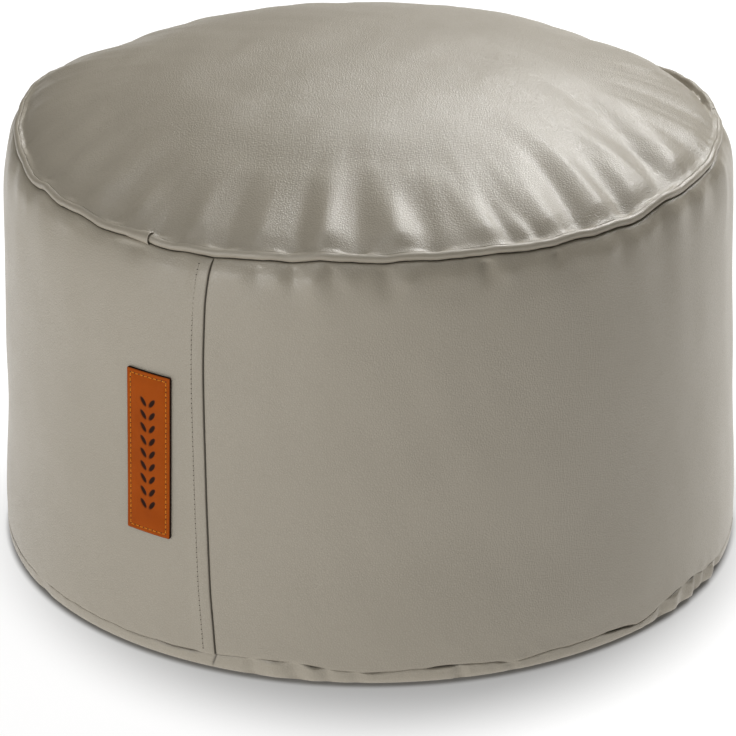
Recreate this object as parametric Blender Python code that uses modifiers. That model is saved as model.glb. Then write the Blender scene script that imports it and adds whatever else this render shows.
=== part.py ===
"""Bean bag footstool: a round, filled seat in pebbled artificial leather, 0.52 m across and 0.35 m high.

A maker cuts a round top panel, one long side panel that a lapped seam closes, a round base panel and two
lengths of piping, and sews a leather patch to the side. The filled bag is divided at its sewn seams, so
each panel is a filled solid of its own, a hair's breadth from its neighbours.

Metres, +Z up. The origin is on the floor, under the middle of the base. Angles are in degrees, from +X
round through +Y. The front, with the side seam and the patch, faces -Y.
"""

import math
from typing import NamedTuple

import bmesh
import bpy
import numpy as np
from mathutils import Matrix

MM = 0.001

# Driving dimensions
SEAM_HEIGHT = 0.2910          # top seam: the piping's centre line above the floor
SEAM_RADIUS = 0.2390          # and its distance from the middle of the top
SEAM_SHIFT = -0.0015          # the top sits a little to the left of the base
CROWN_RISE = 0.0555           # filled top above the seam
CROWN_ROUNDNESS = 2.5         # how flat the middle of the crown is
CROWN_EDGE = 0.75             # how steeply the crown comes down to the seam
BASE_SEAM_HEIGHT = 0.0118     # seam between the side panel and the base panel
BASE_SEAM_RADIUS = 0.2578     # drawn-in line of that seam
PIPING_RADIUS = 0.0031
GAP = 0.0003                  # clearance between sewn pieces

# Seams between the solids
GROOVE_RADIUS = PIPING_RADIUS + 0.0005
CORE_RADIUS = 0.18            # inside this, the parting faces between the panels are level
CORE_DROP = 0.006             # and this far below the seam's mean height
CALM_SHARE = 0.55             # inside this share of the seam's radius, the crown takes no part in its waves
SEAM_EDGE_SHARE = 0.97        # outside this share, the crown follows the seam as its parting face does
WALL_DEPTH = 0.0014           # a point this close to the side's mean radius is on its outer face
COLUMNS = 144                 # faces round the footstool


class Ring(NamedTuple):
    """One ring of a turned profile, in metres."""

    height: float
    radius: float


class Lift(NamedTuple):
    """How far a seam stands above its mean height at one angle, in millimetres."""

    angle: float
    lift: float


class Fold(NamedTuple):
    """A fold that starts at a seam and dies away, or a pleat across a band."""

    angle: float              # degrees
    half_width: float         # degrees
    height: float             # millimetres, standing out where it is above zero
    reach: float              # millimetres from the seam


class SeamPlace(NamedTuple):
    """Where the side seam lies at one height."""

    height: float             # metres
    angle: float              # degrees


# Crown rings, as shares of the seam's radius, from the middle outwards
CROWN_SHARES = (0.20, 0.42, 0.60, 0.74, 0.84, 0.91, 0.96)

# The side panel's outer face, from the shoulder under the piping down to the base seam
WALL_RINGS = (
    Ring(0.2860, 0.2438),
    Ring(0.2795, 0.2460),
    Ring(0.2710, 0.2480),
    Ring(0.2590, 0.2497),
    Ring(0.2400, 0.2507),
    Ring(0.2000, 0.2524),
    Ring(0.1500, 0.2540),
    Ring(0.0950, 0.2560),
    Ring(0.0520, 0.2582),
    Ring(0.0260, 0.2594),
    Ring(0.0155, 0.2596),
)

# The base panel's turned-up edge, from its seam down to the floor
BAND_RINGS = (
    Ring(0.0098, 0.2591),
    Ring(0.0055, 0.2596),
    Ring(0.0018, 0.2582),
    Ring(0.0000, 0.2550),
)

# The top seam rises and falls round the stool; the back is not seen and stays calm
TOP_SEAM_LIFTS = (
    Lift(-180, 8.0), Lift(-174, 5.0), Lift(-167, 2.5), Lift(-161, 0.5), Lift(-156, -2.0),
    Lift(-151, 0.0), Lift(-146, -2.0), Lift(-141, -0.8), Lift(-136, -3.5), Lift(-126, -2.6),
    Lift(-122, -4.0), Lift(-115, -3.0), Lift(-107, -1.0), Lift(-102, -0.4), Lift(-97, 2.0),
    Lift(-90, 1.0), Lift(-83, 1.8), Lift(-72, 1.7), Lift(-61, 0.4), Lift(-57, 1.1),
    Lift(-49, 1.0), Lift(-45, 0.2), Lift(-37, 5.4), Lift(-32, 4.4), Lift(-27, 5.0),
    Lift(-23, 4.2), Lift(-16, 7.0), Lift(-5, 5.0), Lift(6, 6.5), Lift(16, 6.8),
    Lift(27, 4.0), Lift(37, -1.0), Lift(51, 2.0), Lift(90, 1.0), Lift(127, 2.6),
    Lift(138, 2.2), Lift(147, 3.2), Lift(157, 9.4), Lift(166, 11.8), Lift(173, 10.2),
)

BASE_SEAM_LIFTS = (
    Lift(-180, -0.5), Lift(-160, -1.0), Lift(-140, -0.3), Lift(-128, -3.0), Lift(-121, -1.0),
    Lift(-112, 1.2), Lift(-102, 3.0), Lift(-97, 0.5), Lift(-91, -1.5), Lift(-80, 0.4),
    Lift(-73, -0.3), Lift(-69, -3.0), Lift(-63, -1.0), Lift(-52, -1.0), Lift(-46, -4.0),
    Lift(-41, 1.0), Lift(-34, 4.8), Lift(-27, 2.0), Lift(-20, -0.5), Lift(0, 0.5),
    Lift(40, -0.8), Lift(75, 1.0), Lift(115, -1.0), Lift(150, 0.8),
)

# Gathers that run in from the piping over the crown
CROWN_FOLDS = (
    Fold(-172, 5.0, 1.4, 60), Fold(-160, 4.5, 1.1, 60), Fold(-148, 3.5, 1.3, 50),
    Fold(-140, 3.5, 2.0, 80), Fold(-129, 4.0, 1.8, 75), Fold(-119, 4.0, 2.0, 80),
    Fold(-109, 3.8, 1.9, 65), Fold(-98, 4.2, 3.2, 95), Fold(-86, 4.0, 3.2, 85),
    Fold(-75, 3.4, 2.4, 70), Fold(-67, 2.6, 1.7, 40), Fold(-61, 3.0, 2.6, 95),
    Fold(-51, 4.0, 3.4, 130), Fold(-43, 3.0, 1.8, 55), Fold(-35, 3.6, 2.4, 110),
    Fold(-27, 3.2, 1.9, 75), Fold(-19, 3.6, 1.6, 60), Fold(-8, 4.5, 1.3, 60),
)

# Gathers that run down from the piping over the side
WALL_FOLDS = (
    Fold(-178, 4.0, 1.8, 45), Fold(-169, 2.6, 1.5, 38), Fold(-163, 2.4, 1.1, 30),
    Fold(-157, 2.4, 1.4, 36), Fold(-150, 3.0, 0.7, 25), Fold(-142, 1.8, 1.3, 18),
    Fold(-131, 3.6, -1.4, 22), Fold(-122, 2.4, 0.9, 18), Fold(-109, 2.4, 0.8, 22),
    Fold(-103, 2.2, 0.8, 22), Fold(-98, 2.4, 1.1, 34), Fold(-91, 2.4, 0.8, 28),
    Fold(-85, 2.4, 1.5, 36), Fold(-78, 3.0, 0.7, 26), Fold(-72, 1.8, -1.6, 22),
    Fold(-69, 2.2, 1.0, 30), Fold(-61, 1.8, -1.5, 16), Fold(-52, 2.8, 1.4, 36),
    Fold(-44, 2.6, 1.1, 30), Fold(-36, 2.6, 1.3, 34), Fold(-28, 2.6, 1.6, 40),
    Fold(-22, 3.4, -1.6, 40), Fold(-16, 2.8, 1.9, 60), Fold(-6, 3.4, 1.0, 45),
)

# Pleats across the base panel's turned-up edge
BASE_PLEATS = (
    Fold(-150, 3.0, -0.6, 12), Fold(-107, 1.8, -0.9, 12), Fold(-101, 2.2, -0.9, 12),
    Fold(-96, 1.6, -0.9, 12), Fold(-77, 1.6, -1.0, 12), Fold(-69, 1.8, -0.8, 12),
    Fold(-40, 2.0, -1.2, 12), Fold(-30, 2.4, -1.5, 12), Fold(-22, 2.4, -1.2, 12),
)

# Like folds go on round the back, from the first one's angle
BACK_CROWN_FOLD = Fold(12, 3.8, 1.8, 70)
BACK_WALL_FOLD = Fold(12, 2.8, 1.1, 32)
BACK_FOLD_COUNT = 16
BACK_SPACING = 10.4           # degrees from one to the next
BACK_SCATTER = 1.6            # degrees to either side
BACK_UNEVENNESS = 0.35        # share by which their sizes vary
FOLD_ROOT = 7.0               # millimetres over which a fold rises from its seam

# Side seam: the left end of the side panel laps over the right one and is topstitched down
SIDE_SEAM = (
    SeamPlace(0.000, -113.4), SeamPlace(0.062, -114.3), SeamPlace(0.170, -115.0),
    SeamPlace(0.250, -114.8), SeamPlace(0.292, -113.9),
)
SEAM_COLUMN = -113.75         # halfway between two columns of faces, which are drawn in to the seam
DRAW_SPAN = 10.0              # degrees on either side over which they are
DRAW_FADE_TOP = 0.006         # height over which the drawing in begins, below the top seam's groove
DRAW_FADE_BASE = 0.008        # and above the base seam
LAP_HEIGHT = 0.0009           # the lap stands this far off the panel under it
LAP_WIDTH = 1.95              # degrees from the seam's edge to the topstitching
BASE_WAVE_HEIGHT = 0.0400     # above this, the side takes no part in the base seam's waves

# Piping: two lengths that meet at the right, with a flared sleeve over the join at the front left
SLEEVE_ANGLE = -125.7
BUTT_ANGLE = 4.0
SLEEVE_SPAN = 4.5             # degrees over which the sleeve flares
SLEEVE_FLARE = 0.33           # share by which its mouth is wider than the piping
JOIN_GAP = 0.10               # degrees between the two lengths

# Leather patch, sewn flat to the side
PATCH_WIDTH = 0.0360
PATCH_HEIGHT = 0.1150
PATCH_THICKNESS = 0.0018
PATCH_ANGLE = -124.6
PATCH_MIDDLE = 0.1435         # its middle above the floor
PATCH_LEAN = 1.2              # degrees, its foot to the left
PATCH_BEVEL = 0.0003
PATCH_COLUMNS = 8
PATCH_ROWS = 14

# Finishes: linear base colour, roughness and metallic value
COVER_COLOUR = (0.35, 0.32, 0.27)
COVER_ROUGHNESS = 0.42
PATCH_COLOUR = (0.36, 0.10, 0.02)
PATCH_ROUGHNESS = 0.55


def clear_scene() -> None:
    """Remove every object of the scene."""
    for obj in list(bpy.data.objects):
        bpy.data.objects.remove(obj, do_unlink=True)


def finish(name: str, colour: tuple, roughness: float) -> bpy.types.Material:
    """Return a plain Principled material."""
    material = bpy.data.materials.new(name)
    material.use_nodes = True
    shader = material.node_tree.nodes["Principled BSDF"]
    shader.inputs["Base Color"].default_value = (*colour, 1.0)
    shader.inputs["Roughness"].default_value = roughness
    shader.inputs["Metallic"].default_value = 0.0
    return material


def smooth(share):
    """Ease from 0 to 1 as the share goes from 0 to 1, and stay level outside."""
    s = np.clip(share, 0.0, 1.0)
    return s * s * (3.0 - 2.0 * s)


def turn_between(angle, other: float):
    """Return the signed turn in degrees from the other angle, the short way round."""
    return (np.asarray(angle) - other + 180.0) % 360.0 - 180.0


def ring_curve(rows: tuple, angle):
    """Read the lifts of a closed seam as one smooth curve, in metres, that never overshoots its rows."""
    angles = np.array([row.angle for row in rows], float)
    lifts = np.array([row.lift for row in rows], float) * MM
    angles = np.concatenate((angles[-2:] - 360.0, angles, angles[:2] + 360.0))
    lifts = np.concatenate((lifts[-2:], lifts, lifts[:2]))
    steps = np.diff(angles)
    slopes = np.diff(lifts) / steps
    same_way = slopes[:-1] * slopes[1:] > 0.0
    mean = 2.0 * slopes[:-1] * slopes[1:] / np.where(same_way, slopes[:-1] + slopes[1:], 1.0)
    tangents = np.concatenate(([0.0], np.where(same_way, mean, 0.0), [0.0]))
    wrapped = turn_between(angle, 0.0)
    i = np.clip(np.searchsorted(angles, wrapped) - 1, 0, len(steps) - 1)
    step = steps[i]
    s = (wrapped - angles[i]) / step
    from_here = (1.0 + 2.0 * s) * (1.0 - s) ** 2 * lifts[i] + s * (1.0 - s) ** 2 * step * tangents[i]
    from_next = s * s * (3.0 - 2.0 * s) * lifts[i + 1] - s * s * (1.0 - s) * step * tangents[i + 1]
    return from_here + from_next


def back_folds(first: Fold) -> tuple:
    """Return the folds of the side that faces away: like the first, gently scattered and uneven."""
    rows = []
    for i in range(BACK_FOLD_COUNT):
        angle = first.angle + BACK_SPACING * i + BACK_SCATTER * math.sin(2.4 * i)
        size = 1.0 + BACK_UNEVENNESS * math.sin(1.7 * i + 0.5)
        rows.append(Fold(angle, first.half_width, first.height * size, first.reach * size))
    return tuple(rows)


def fold_relief(folds: tuple, angle, distance):
    """Return how far the folds push a face out, in metres, at a distance in metres from their seam."""
    total = np.zeros(np.broadcast(angle, distance).shape)
    along = np.asarray(distance) / MM
    for fold in folds:
        across = np.exp(-((turn_between(angle, fold.angle) / fold.half_width) ** 2))
        length = smooth(along / FOLD_ROOT) * (1.0 - smooth(along / fold.reach))
        total = total + fold.height * MM * across * length
    return total


def crown_height(radius):
    """Return the filled top's height above the seam at a distance from its middle."""
    share = np.clip(np.asarray(radius) / SEAM_RADIUS, 0.0, 1.0)
    return CROWN_RISE * (1.0 - share**CROWN_ROUNDNESS) ** CROWN_EDGE


def parting_share(radius):
    """Return how much of a seam's rise and fall the parting face takes up at a radius."""
    return smooth((np.asarray(radius) - CORE_RADIUS) / (SEAM_RADIUS - GROOVE_RADIUS - CORE_RADIUS))


def wall_radius(height):
    """Return the side panel's mean radius at a height."""
    heights = [ring.height for ring in reversed(WALL_RINGS)]
    radii = [ring.radius for ring in reversed(WALL_RINGS)]
    return np.interp(height, heights, radii)


def side_seam_angle(height):
    """Return the side seam's angle at a height."""
    return np.interp(height, [place.height for place in SIDE_SEAM], [place.angle for place in SIDE_SEAM])


def groove_point(turn: float) -> Ring:
    """Return a point of the groove round the piping, at an angle about its centre."""
    return Ring(
        SEAM_HEIGHT + GROOVE_RADIUS * math.sin(math.radians(turn)),
        SEAM_RADIUS + GROOVE_RADIUS * math.cos(math.radians(turn)),
    )


def parting_rings(height: float, radius: float) -> list:
    """Return the profile of the face between two panels, from the axis out to its seam."""
    core = height - CORE_DROP
    return [Ring(core, 0.0), Ring(core, CORE_RADIUS), Ring(height, radius)]


def sleeve_share(angle):
    """Return 1 at the sleeve's mouth, 0 where the piping has its own width."""
    turn = turn_between(angle, SLEEVE_ANGLE)
    return np.where(turn <= 0.0, smooth(1.0 + turn / SLEEVE_SPAN), smooth(1.0 - turn / SLEEVE_SPAN))


def turned(name: str, rings: list) -> bpy.types.Object:
    """Turn a profile about Z.

    Args:
        name: The object's name.
        rings: The profile from the axis over the top, down the outer side and back to the axis.

    Returns:
        The object, with the turned surface as its mesh.
    """
    profile = bpy.data.meshes.new(name + "_profile")
    points = [(ring.radius, 0.0, ring.height) for ring in rings]
    profile.from_pydata(points, [(i, i + 1) for i in range(len(points) - 1)], [])
    guide = bpy.data.objects.new(name + "_profile", profile)
    bpy.context.scene.collection.objects.link(guide)
    screw = guide.modifiers.new("Turn", "SCREW")
    screw.axis = "Z"
    screw.angle = math.tau
    screw.steps = COLUMNS
    screw.render_steps = COLUMNS
    screw.use_merge_vertices = True
    screw.merge_threshold = 0.00005
    surface = as_mesh(guide, name)
    bpy.data.objects.remove(guide, do_unlink=True)
    bpy.data.meshes.remove(profile)
    panel = bpy.data.objects.new(name, surface)
    # Two panels that face each other across a seam are cut into triangles the same way
    facets = panel.modifiers.new("Facets", "TRIANGULATE")
    facets.quad_method = "SHORTEST_DIAGONAL"
    return panel


def as_mesh(source: bpy.types.Object, name: str) -> bpy.types.Mesh:
    """Return an object's evaluated shape as a welded mesh with its faces pointing out."""
    graph = bpy.context.evaluated_depsgraph_get()
    mesh = bpy.data.meshes.new_from_object(source.evaluated_get(graph))
    mesh.name = name
    work = bmesh.new()
    work.from_mesh(mesh)
    bmesh.ops.remove_doubles(work, verts=work.verts, dist=0.00002)
    bmesh.ops.recalc_face_normals(work, faces=work.faces)
    work.to_mesh(mesh)
    work.free()
    return mesh


def reshape(obj: bpy.types.Object, move) -> None:
    """Move every point of a turned object.

    Args:
        obj: The object whose mesh changes.
        move: Takes arrays of angle, radius and height, and returns the new ones and a shift along X.
    """
    count = len(obj.data.vertices)
    points = np.empty(count * 3)
    obj.data.vertices.foreach_get("co", points)
    x, y, height = points.reshape(count, 3).T
    angle, radius, height, shift = move(np.degrees(np.arctan2(y, x)), np.hypot(x, y), height)
    turn = np.radians(angle)
    moved = np.stack((radius * np.cos(turn) + shift, radius * np.sin(turn), height), axis=1)
    obj.data.vertices.foreach_set("co", moved.ravel())
    obj.data.update()


def widen_groove(angle, radius, height):
    """Open the groove round the piping where the sleeve is wider, without moving what lies further off."""
    across = radius - SEAM_RADIUS
    up = height - SEAM_HEIGHT
    away = np.hypot(across, up)
    near = np.exp(-np.clip(away - GROOVE_RADIUS, 0.0, None) / (4.0 * MM))
    near = np.where(radius < SEAM_RADIUS - 1.5 * GROOVE_RADIUS, 0.0, near)
    stretch = SLEEVE_FLARE * sleeve_share(angle) * near
    return radius + across * stretch, height + up * stretch


def move_top(angle, radius, height):
    """Give the top panel its wavy edge and its gathers."""
    on_crown = height > SEAM_HEIGHT + GAP
    inside = radius < SEAM_EDGE_SHARE * SEAM_RADIUS
    radius_wide, height_wide = widen_groove(angle, radius, height)
    crown_share = smooth((radius / SEAM_RADIUS - CALM_SHARE) / (1.0 - CALM_SHARE))
    share = np.where(on_crown & inside, crown_share, parting_share(radius))
    lift = ring_curve(TOP_SEAM_LIFTS, angle) * share
    folds = CROWN_FOLDS + back_folds(BACK_CROWN_FOLD)
    relief = fold_relief(folds, angle, SEAM_RADIUS - GROOVE_RADIUS - radius)
    return angle, radius_wide, height_wide + lift + np.where(on_crown, relief, 0.0), SEAM_SHIFT


def move_side(angle, radius, height):
    """Give the side panel its wavy seams, its gathers and the lapped seam that closes it."""
    on_wall = radius > wall_radius(height) - WALL_DEPTH
    upper = height > 0.5 * SEAM_HEIGHT
    below_top = smooth((SEAM_HEIGHT - 2.0 * GROOVE_RADIUS - height) / DRAW_FADE_TOP)
    above_base = smooth((height - BASE_SEAM_HEIGHT - 1.0 * MM) / DRAW_FADE_BASE)
    free = np.where(on_wall, below_top * above_base, 0.0)
    turn = turn_between(angle, SEAM_COLUMN)
    drawn = np.where(np.abs(turn) < DRAW_SPAN, turn * np.abs(turn) / DRAW_SPAN, turn)
    bend = side_seam_angle(height) - SEAM_COLUMN
    bend = bend * (1.0 - smooth(np.abs(turn) / (3.0 * DRAW_SPAN)))
    angle_out = angle + (drawn - turn + bend) * free

    from_seam = turn_between(angle_out, side_seam_angle(height))
    lap = 1.0 - smooth((-from_seam - 0.8 * LAP_WIDTH) / (1.2 * LAP_WIDTH))
    lap = np.where(from_seam < 0.0, lap, 0.0)
    radius_wide, height_wide = widen_groove(angle, radius, height)
    folds = WALL_FOLDS + back_folds(BACK_WALL_FOLD)
    relief = fold_relief(folds, angle_out, SEAM_HEIGHT - GROOVE_RADIUS - height)
    radius_out = radius_wide + np.where(on_wall, relief + LAP_HEIGHT * lap * free, 0.0)

    top_share = np.where(upper & ~on_wall, parting_share(radius), smooth(height / SEAM_HEIGHT) ** 3)
    wave_span = BASE_WAVE_HEIGHT - BASE_SEAM_HEIGHT
    base_share = smooth((BASE_WAVE_HEIGHT - height) / wave_span) * parting_share(radius)
    lift = ring_curve(TOP_SEAM_LIFTS, angle_out) * top_share
    lift = lift + ring_curve(BASE_SEAM_LIFTS, angle_out) * base_share
    shift = SEAM_SHIFT * smooth(height / SEAM_HEIGHT)
    return angle_out, radius_out, height_wide + lift, shift


def move_base(angle, radius, height):
    """Give the base panel its wavy seam and the pleats of its turned-up edge."""
    lift = ring_curve(BASE_SEAM_LIFTS, angle) * smooth(height / BASE_SEAM_HEIGHT) * parting_share(radius)
    on_band = smooth(height / (4.0 * MM)) * smooth((BASE_SEAM_HEIGHT - GAP - height) / (1.5 * MM))
    on_band = np.where(radius > BASE_SEAM_RADIUS, on_band, 0.0)
    relief = np.zeros(radius.shape)
    for pleat in BASE_PLEATS:
        across = turn_between(angle, pleat.angle) / pleat.half_width
        relief = relief + pleat.height * MM * np.exp(-across * across)
    return angle, radius + relief * on_band, height + lift, 0.0


def top_panel() -> bpy.types.Object:
    """Build the crowned top, down to the seam, with the upper half of the piping's groove."""
    rings = [Ring(SEAM_HEIGHT + CROWN_RISE, 0.0)]
    for share in CROWN_SHARES:
        radius = share * SEAM_RADIUS
        rings.append(Ring(SEAM_HEIGHT + float(crown_height(radius)), radius))
    rings += [groove_point(125.0), groove_point(152.0)]
    rings += reversed(parting_rings(SEAM_HEIGHT + 0.5 * GAP, SEAM_RADIUS - GROOVE_RADIUS))
    panel = turned("top_panel", rings)
    reshape(panel, move_top)
    return panel


def side_panel() -> bpy.types.Object:
    """Build the side, with the lower half of the piping's groove and the drawn-in base seam."""
    rings = parting_rings(SEAM_HEIGHT - 0.5 * GAP, SEAM_RADIUS - GROOVE_RADIUS)
    rings += [groove_point(turn) for turn in (222.0, 268.0, 315.0)]
    rings += list(WALL_RINGS)
    rings += reversed(parting_rings(BASE_SEAM_HEIGHT + 0.5 * GAP, BASE_SEAM_RADIUS))
    panel = turned("side_panel", rings)
    reshape(panel, move_side)
    return panel


def base_panel() -> bpy.types.Object:
    """Build the base: flat underneath, with its edge turned up to the seam."""
    rings = parting_rings(BASE_SEAM_HEIGHT - 0.5 * GAP, BASE_SEAM_RADIUS)
    rings += list(BAND_RINGS)
    rings += [Ring(0.0, 0.0)]
    panel = turned("base_panel", rings)
    reshape(panel, move_base)
    return panel


def piping(name: str, start: float, stop: float, sleeve_at_stop: bool) -> bpy.types.Object:
    """Build one length of piping along the top seam.

    Args:
        name: The object's name.
        start: Angle of the length's first end.
        stop: Angle of its last end, further round.
        sleeve_at_stop: Whether the last end flares over the other length.

    Returns:
        The object, a capped tube.
    """
    step = 360.0 / COLUMNS
    inner = np.arange(math.ceil(start / step + 0.2), math.floor(stop / step - 0.2) + 1) * step
    angles = np.concatenate(([start], inner, [stop]))
    turn = np.radians(angles)
    lift = ring_curve(TOP_SEAM_LIFTS, angles)
    curve = bpy.data.curves.new(name, "CURVE")
    curve.dimensions = "3D"
    curve.twist_mode = "Z_UP"
    curve.bevel_depth = PIPING_RADIUS
    curve.bevel_resolution = 2
    curve.use_fill_caps = True
    spline = curve.splines.new("POLY")
    spline.points.add(len(angles) - 1)
    for i, point in enumerate(spline.points):
        x = SEAM_RADIUS * math.cos(turn[i]) + SEAM_SHIFT
        y = SEAM_RADIUS * math.sin(turn[i])
        point.co = (x, y, SEAM_HEIGHT + lift[i], 1.0)
        if sleeve_at_stop:
            point.radius = 1.0 + SLEEVE_FLARE * float(smooth(1.0 - (stop - angles[i]) / SLEEVE_SPAN))
    guide = bpy.data.objects.new(name + "_line", curve)
    bpy.context.scene.collection.objects.link(guide)
    tube = bpy.data.objects.new(name, as_mesh(guide, name))
    tube.matrix_world = guide.matrix_world
    bpy.data.objects.remove(guide, do_unlink=True)
    bpy.data.curves.remove(curve)
    return tube


def label_patch() -> bpy.types.Object:
    """Build the leather patch, bent to the side panel and just clear of it."""
    mesh = bpy.data.meshes.new("label_patch")
    work = bmesh.new()
    bmesh.ops.create_grid(work, x_segments=PATCH_COLUMNS, y_segments=PATCH_ROWS, size=0.5)
    lean = math.radians(PATCH_LEAN)
    for vert in work.verts:
        across = vert.co.x * PATCH_WIDTH
        up = vert.co.y * PATCH_HEIGHT
        height = PATCH_MIDDLE + up * math.cos(lean) - across * math.sin(lean)
        inner = float(wall_radius(height)) + 1.5 * GAP
        angle = PATCH_ANGLE + math.degrees((across + up * math.sin(lean)) / inner)
        shift = SEAM_SHIFT * float(smooth(height / SEAM_HEIGHT))
        turn = math.radians(angle)
        vert.co = (inner * math.cos(turn) + shift, inner * math.sin(turn), height)
    work.to_mesh(mesh)
    work.free()
    patch = bpy.data.objects.new("label_patch", mesh)
    solid = patch.modifiers.new("Leather", "SOLIDIFY")
    solid.thickness = PATCH_THICKNESS
    solid.offset = 1.0
    solid.use_even_offset = True
    edge = patch.modifiers.new("Cut edge", "BEVEL")
    edge.width = PATCH_BEVEL
    edge.segments = 1
    edge.limit_method = "ANGLE"
    edge.angle_limit = math.radians(50.0)
    return patch


def set_origin(obj: bpy.types.Object, point: tuple) -> None:
    """Move an object's origin, leaving its shape where it is."""
    obj.data.transform(Matrix.Translation([-value for value in point]))
    obj.location = point


def main() -> None:
    """Build the footstool."""
    clear_scene()
    collection = bpy.data.collections.new("bean_bag_footstool")
    bpy.context.scene.collection.children.link(collection)
    stand = bpy.data.objects.new("footstool_stand", None)
    collection.objects.link(stand)

    cover = finish("cover_leather", COVER_COLOUR, COVER_ROUGHNESS)
    trim = finish("piping_leather", COVER_COLOUR, COVER_ROUGHNESS)
    tan = finish("patch_leather", PATCH_COLOUR, PATCH_ROUGHNESS)

    top_middle = (SEAM_SHIFT, 0.0, SEAM_HEIGHT)
    pieces = (
        (top_panel(), cover, top_middle),
        (side_panel(), cover, (0.0, 0.0, BASE_SEAM_HEIGHT)),
        (base_panel(), cover, (0.0, 0.0, 0.0)),
        (piping("top_piping_front", SLEEVE_ANGLE + JOIN_GAP, BUTT_ANGLE, False), trim, top_middle),
        (piping("top_piping_back", BUTT_ANGLE + JOIN_GAP, SLEEVE_ANGLE + 360.0, True), trim, top_middle),
        (label_patch(), tan, (0.0, 0.0, PATCH_MIDDLE)),
    )
    for obj, material, origin in pieces:
        collection.objects.link(obj)
        obj.data.materials.clear()
        obj.data.materials.append(material)
        set_origin(obj, origin)
        obj.parent = stand
        obj.data.shade_smooth()
        obj.data.set_sharp_from_angle(angle=math.radians(50.0))


main()
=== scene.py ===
"""Looks of the bean bag footstool: pebbled artificial leather gathered into a piped top seam.

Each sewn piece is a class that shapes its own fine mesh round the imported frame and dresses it. Metres, +Z up;
angles are in degrees, from +X round through +Y. The front, with the side seam and the patch, faces -Y.
"""

import logging
import math
from dataclasses import dataclass
from enum import Enum
from typing import NamedTuple, Union

import bpy
import numpy as np
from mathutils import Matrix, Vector


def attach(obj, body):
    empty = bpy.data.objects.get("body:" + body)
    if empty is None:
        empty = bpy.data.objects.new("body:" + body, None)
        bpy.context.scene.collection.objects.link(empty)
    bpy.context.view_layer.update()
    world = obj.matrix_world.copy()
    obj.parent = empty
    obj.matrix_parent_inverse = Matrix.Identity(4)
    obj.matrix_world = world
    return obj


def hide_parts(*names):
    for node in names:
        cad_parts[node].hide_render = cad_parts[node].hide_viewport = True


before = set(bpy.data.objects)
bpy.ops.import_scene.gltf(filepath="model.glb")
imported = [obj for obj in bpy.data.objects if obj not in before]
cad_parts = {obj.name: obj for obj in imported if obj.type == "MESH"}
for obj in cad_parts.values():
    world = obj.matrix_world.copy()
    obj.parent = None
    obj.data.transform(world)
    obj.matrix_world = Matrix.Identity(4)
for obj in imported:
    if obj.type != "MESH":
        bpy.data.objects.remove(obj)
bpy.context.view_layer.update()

Array = np.ndarray
Socket = bpy.types.NodeSocket
Feed = Union[Socket, float]
Shade = Union[Socket, tuple]
MM = 0.001
SAG_TO_ONE = 27.0 / 4.0  # makes x (1 - x)^2 reach 1 at its highest
log = logging.getLogger("footstool")


class Row(NamedTuple):
    """One row of a curve: where it is, and its value there."""

    place: float
    value: float


class Gather(NamedTuple):
    """A fold that a seam draws in, or a crease between two folds.

    Its angle at the seam is in degrees, its width to either side, its height and its reach from the seam in
    millimetres, and its drift is how many degrees it turns round the stool on its way. A crease's height is
    below zero.
    """

    angle: float
    width: float
    height: float
    reach: float
    drift: float


class Wave(NamedTuple):
    """One even wave round the stool: its height, how often it rises, and its phase in radians."""

    height: float
    count: float
    phase: float


class Side(Enum):
    """Which of the seam's two leathers a gather lies on."""

    TOP = "top"
    WALL = "wall"


# The piped seam rises and falls round the stool, in degrees and millimetres
TOP_SEAM_LIFTS = (
    Row(-180, 8.0), Row(-174, 5.0), Row(-167, 2.5), Row(-161, 0.5), Row(-156, -2.0), Row(-151, 0.0),
    Row(-146, -2.0), Row(-141, -0.8), Row(-136, -3.5), Row(-126, -2.6), Row(-122, -4.0), Row(-115, -3.0),
    Row(-107, -1.0), Row(-102, -0.4), Row(-97, 2.0), Row(-90, 1.0), Row(-83, 1.8), Row(-72, 1.7),
    Row(-61, 0.4), Row(-57, 1.1), Row(-49, 1.0), Row(-45, 0.2), Row(-37, 5.4), Row(-32, 4.4),
    Row(-27, 5.0), Row(-23, 4.2), Row(-16, 7.0), Row(-5, 5.0), Row(6, 6.5), Row(16, 6.8),
    Row(27, 4.0), Row(37, -1.0), Row(51, 2.0), Row(90, 1.0), Row(127, 2.6), Row(138, 2.2),
    Row(147, 3.2), Row(157, 9.4), Row(166, 11.8), Row(173, 10.2),
)

# So does the seam between the side and the base
BASE_SEAM_LIFTS = (
    Row(-180, -0.5), Row(-160, -0.7), Row(-140, -0.4), Row(-131, -0.5), Row(-127, -0.9), Row(-123, -0.5),
    Row(-119, -0.6), Row(-112, 1.2), Row(-102, 3.0), Row(-97, 0.5), Row(-91, -1.8), Row(-80, 0.4),
    Row(-73, -0.3), Row(-69, -3.2), Row(-63, -1.0), Row(-52, -1.0), Row(-46, -4.2), Row(-41, 1.0),
    Row(-34, 4.8), Row(-27, 2.0), Row(-20, -0.5), Row(0, 0.5), Row(40, -0.8), Row(75, 1.0),
    Row(115, -1.0), Row(150, 0.8),
)

# Small waves in the lines of both seams, in millimetres
TOP_SEAM_WOBBLE = (Wave(0.22, 31.0, 0.6), Wave(0.18, 53.0, 2.1), Wave(0.10, 97.0, 0.0))
TOP_SEAM_DRAW = (Wave(0.30, 23.0, 1.1), Wave(0.26, 41.0, 0.4))
BASE_SEAM_WOBBLE = (Wave(0.20, 47.0, 0.9), Wave(0.16, 83.0, 2.0))

# Where the base seam opens between its stitches, and how the piping's thickness varies, as shares
BASE_SEAM_OPENING = (Wave(1.0, 9.0, 0.5), Wave(1.0, 16.0, 2.0), Wave(0.8, 37.0, 1.0))
PIPING_UNEVEN = (Wave(0.020, 61.0, 0.3), Wave(0.016, 143.0, 1.2), Wave(0.012, 277.0, 2.2))

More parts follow.
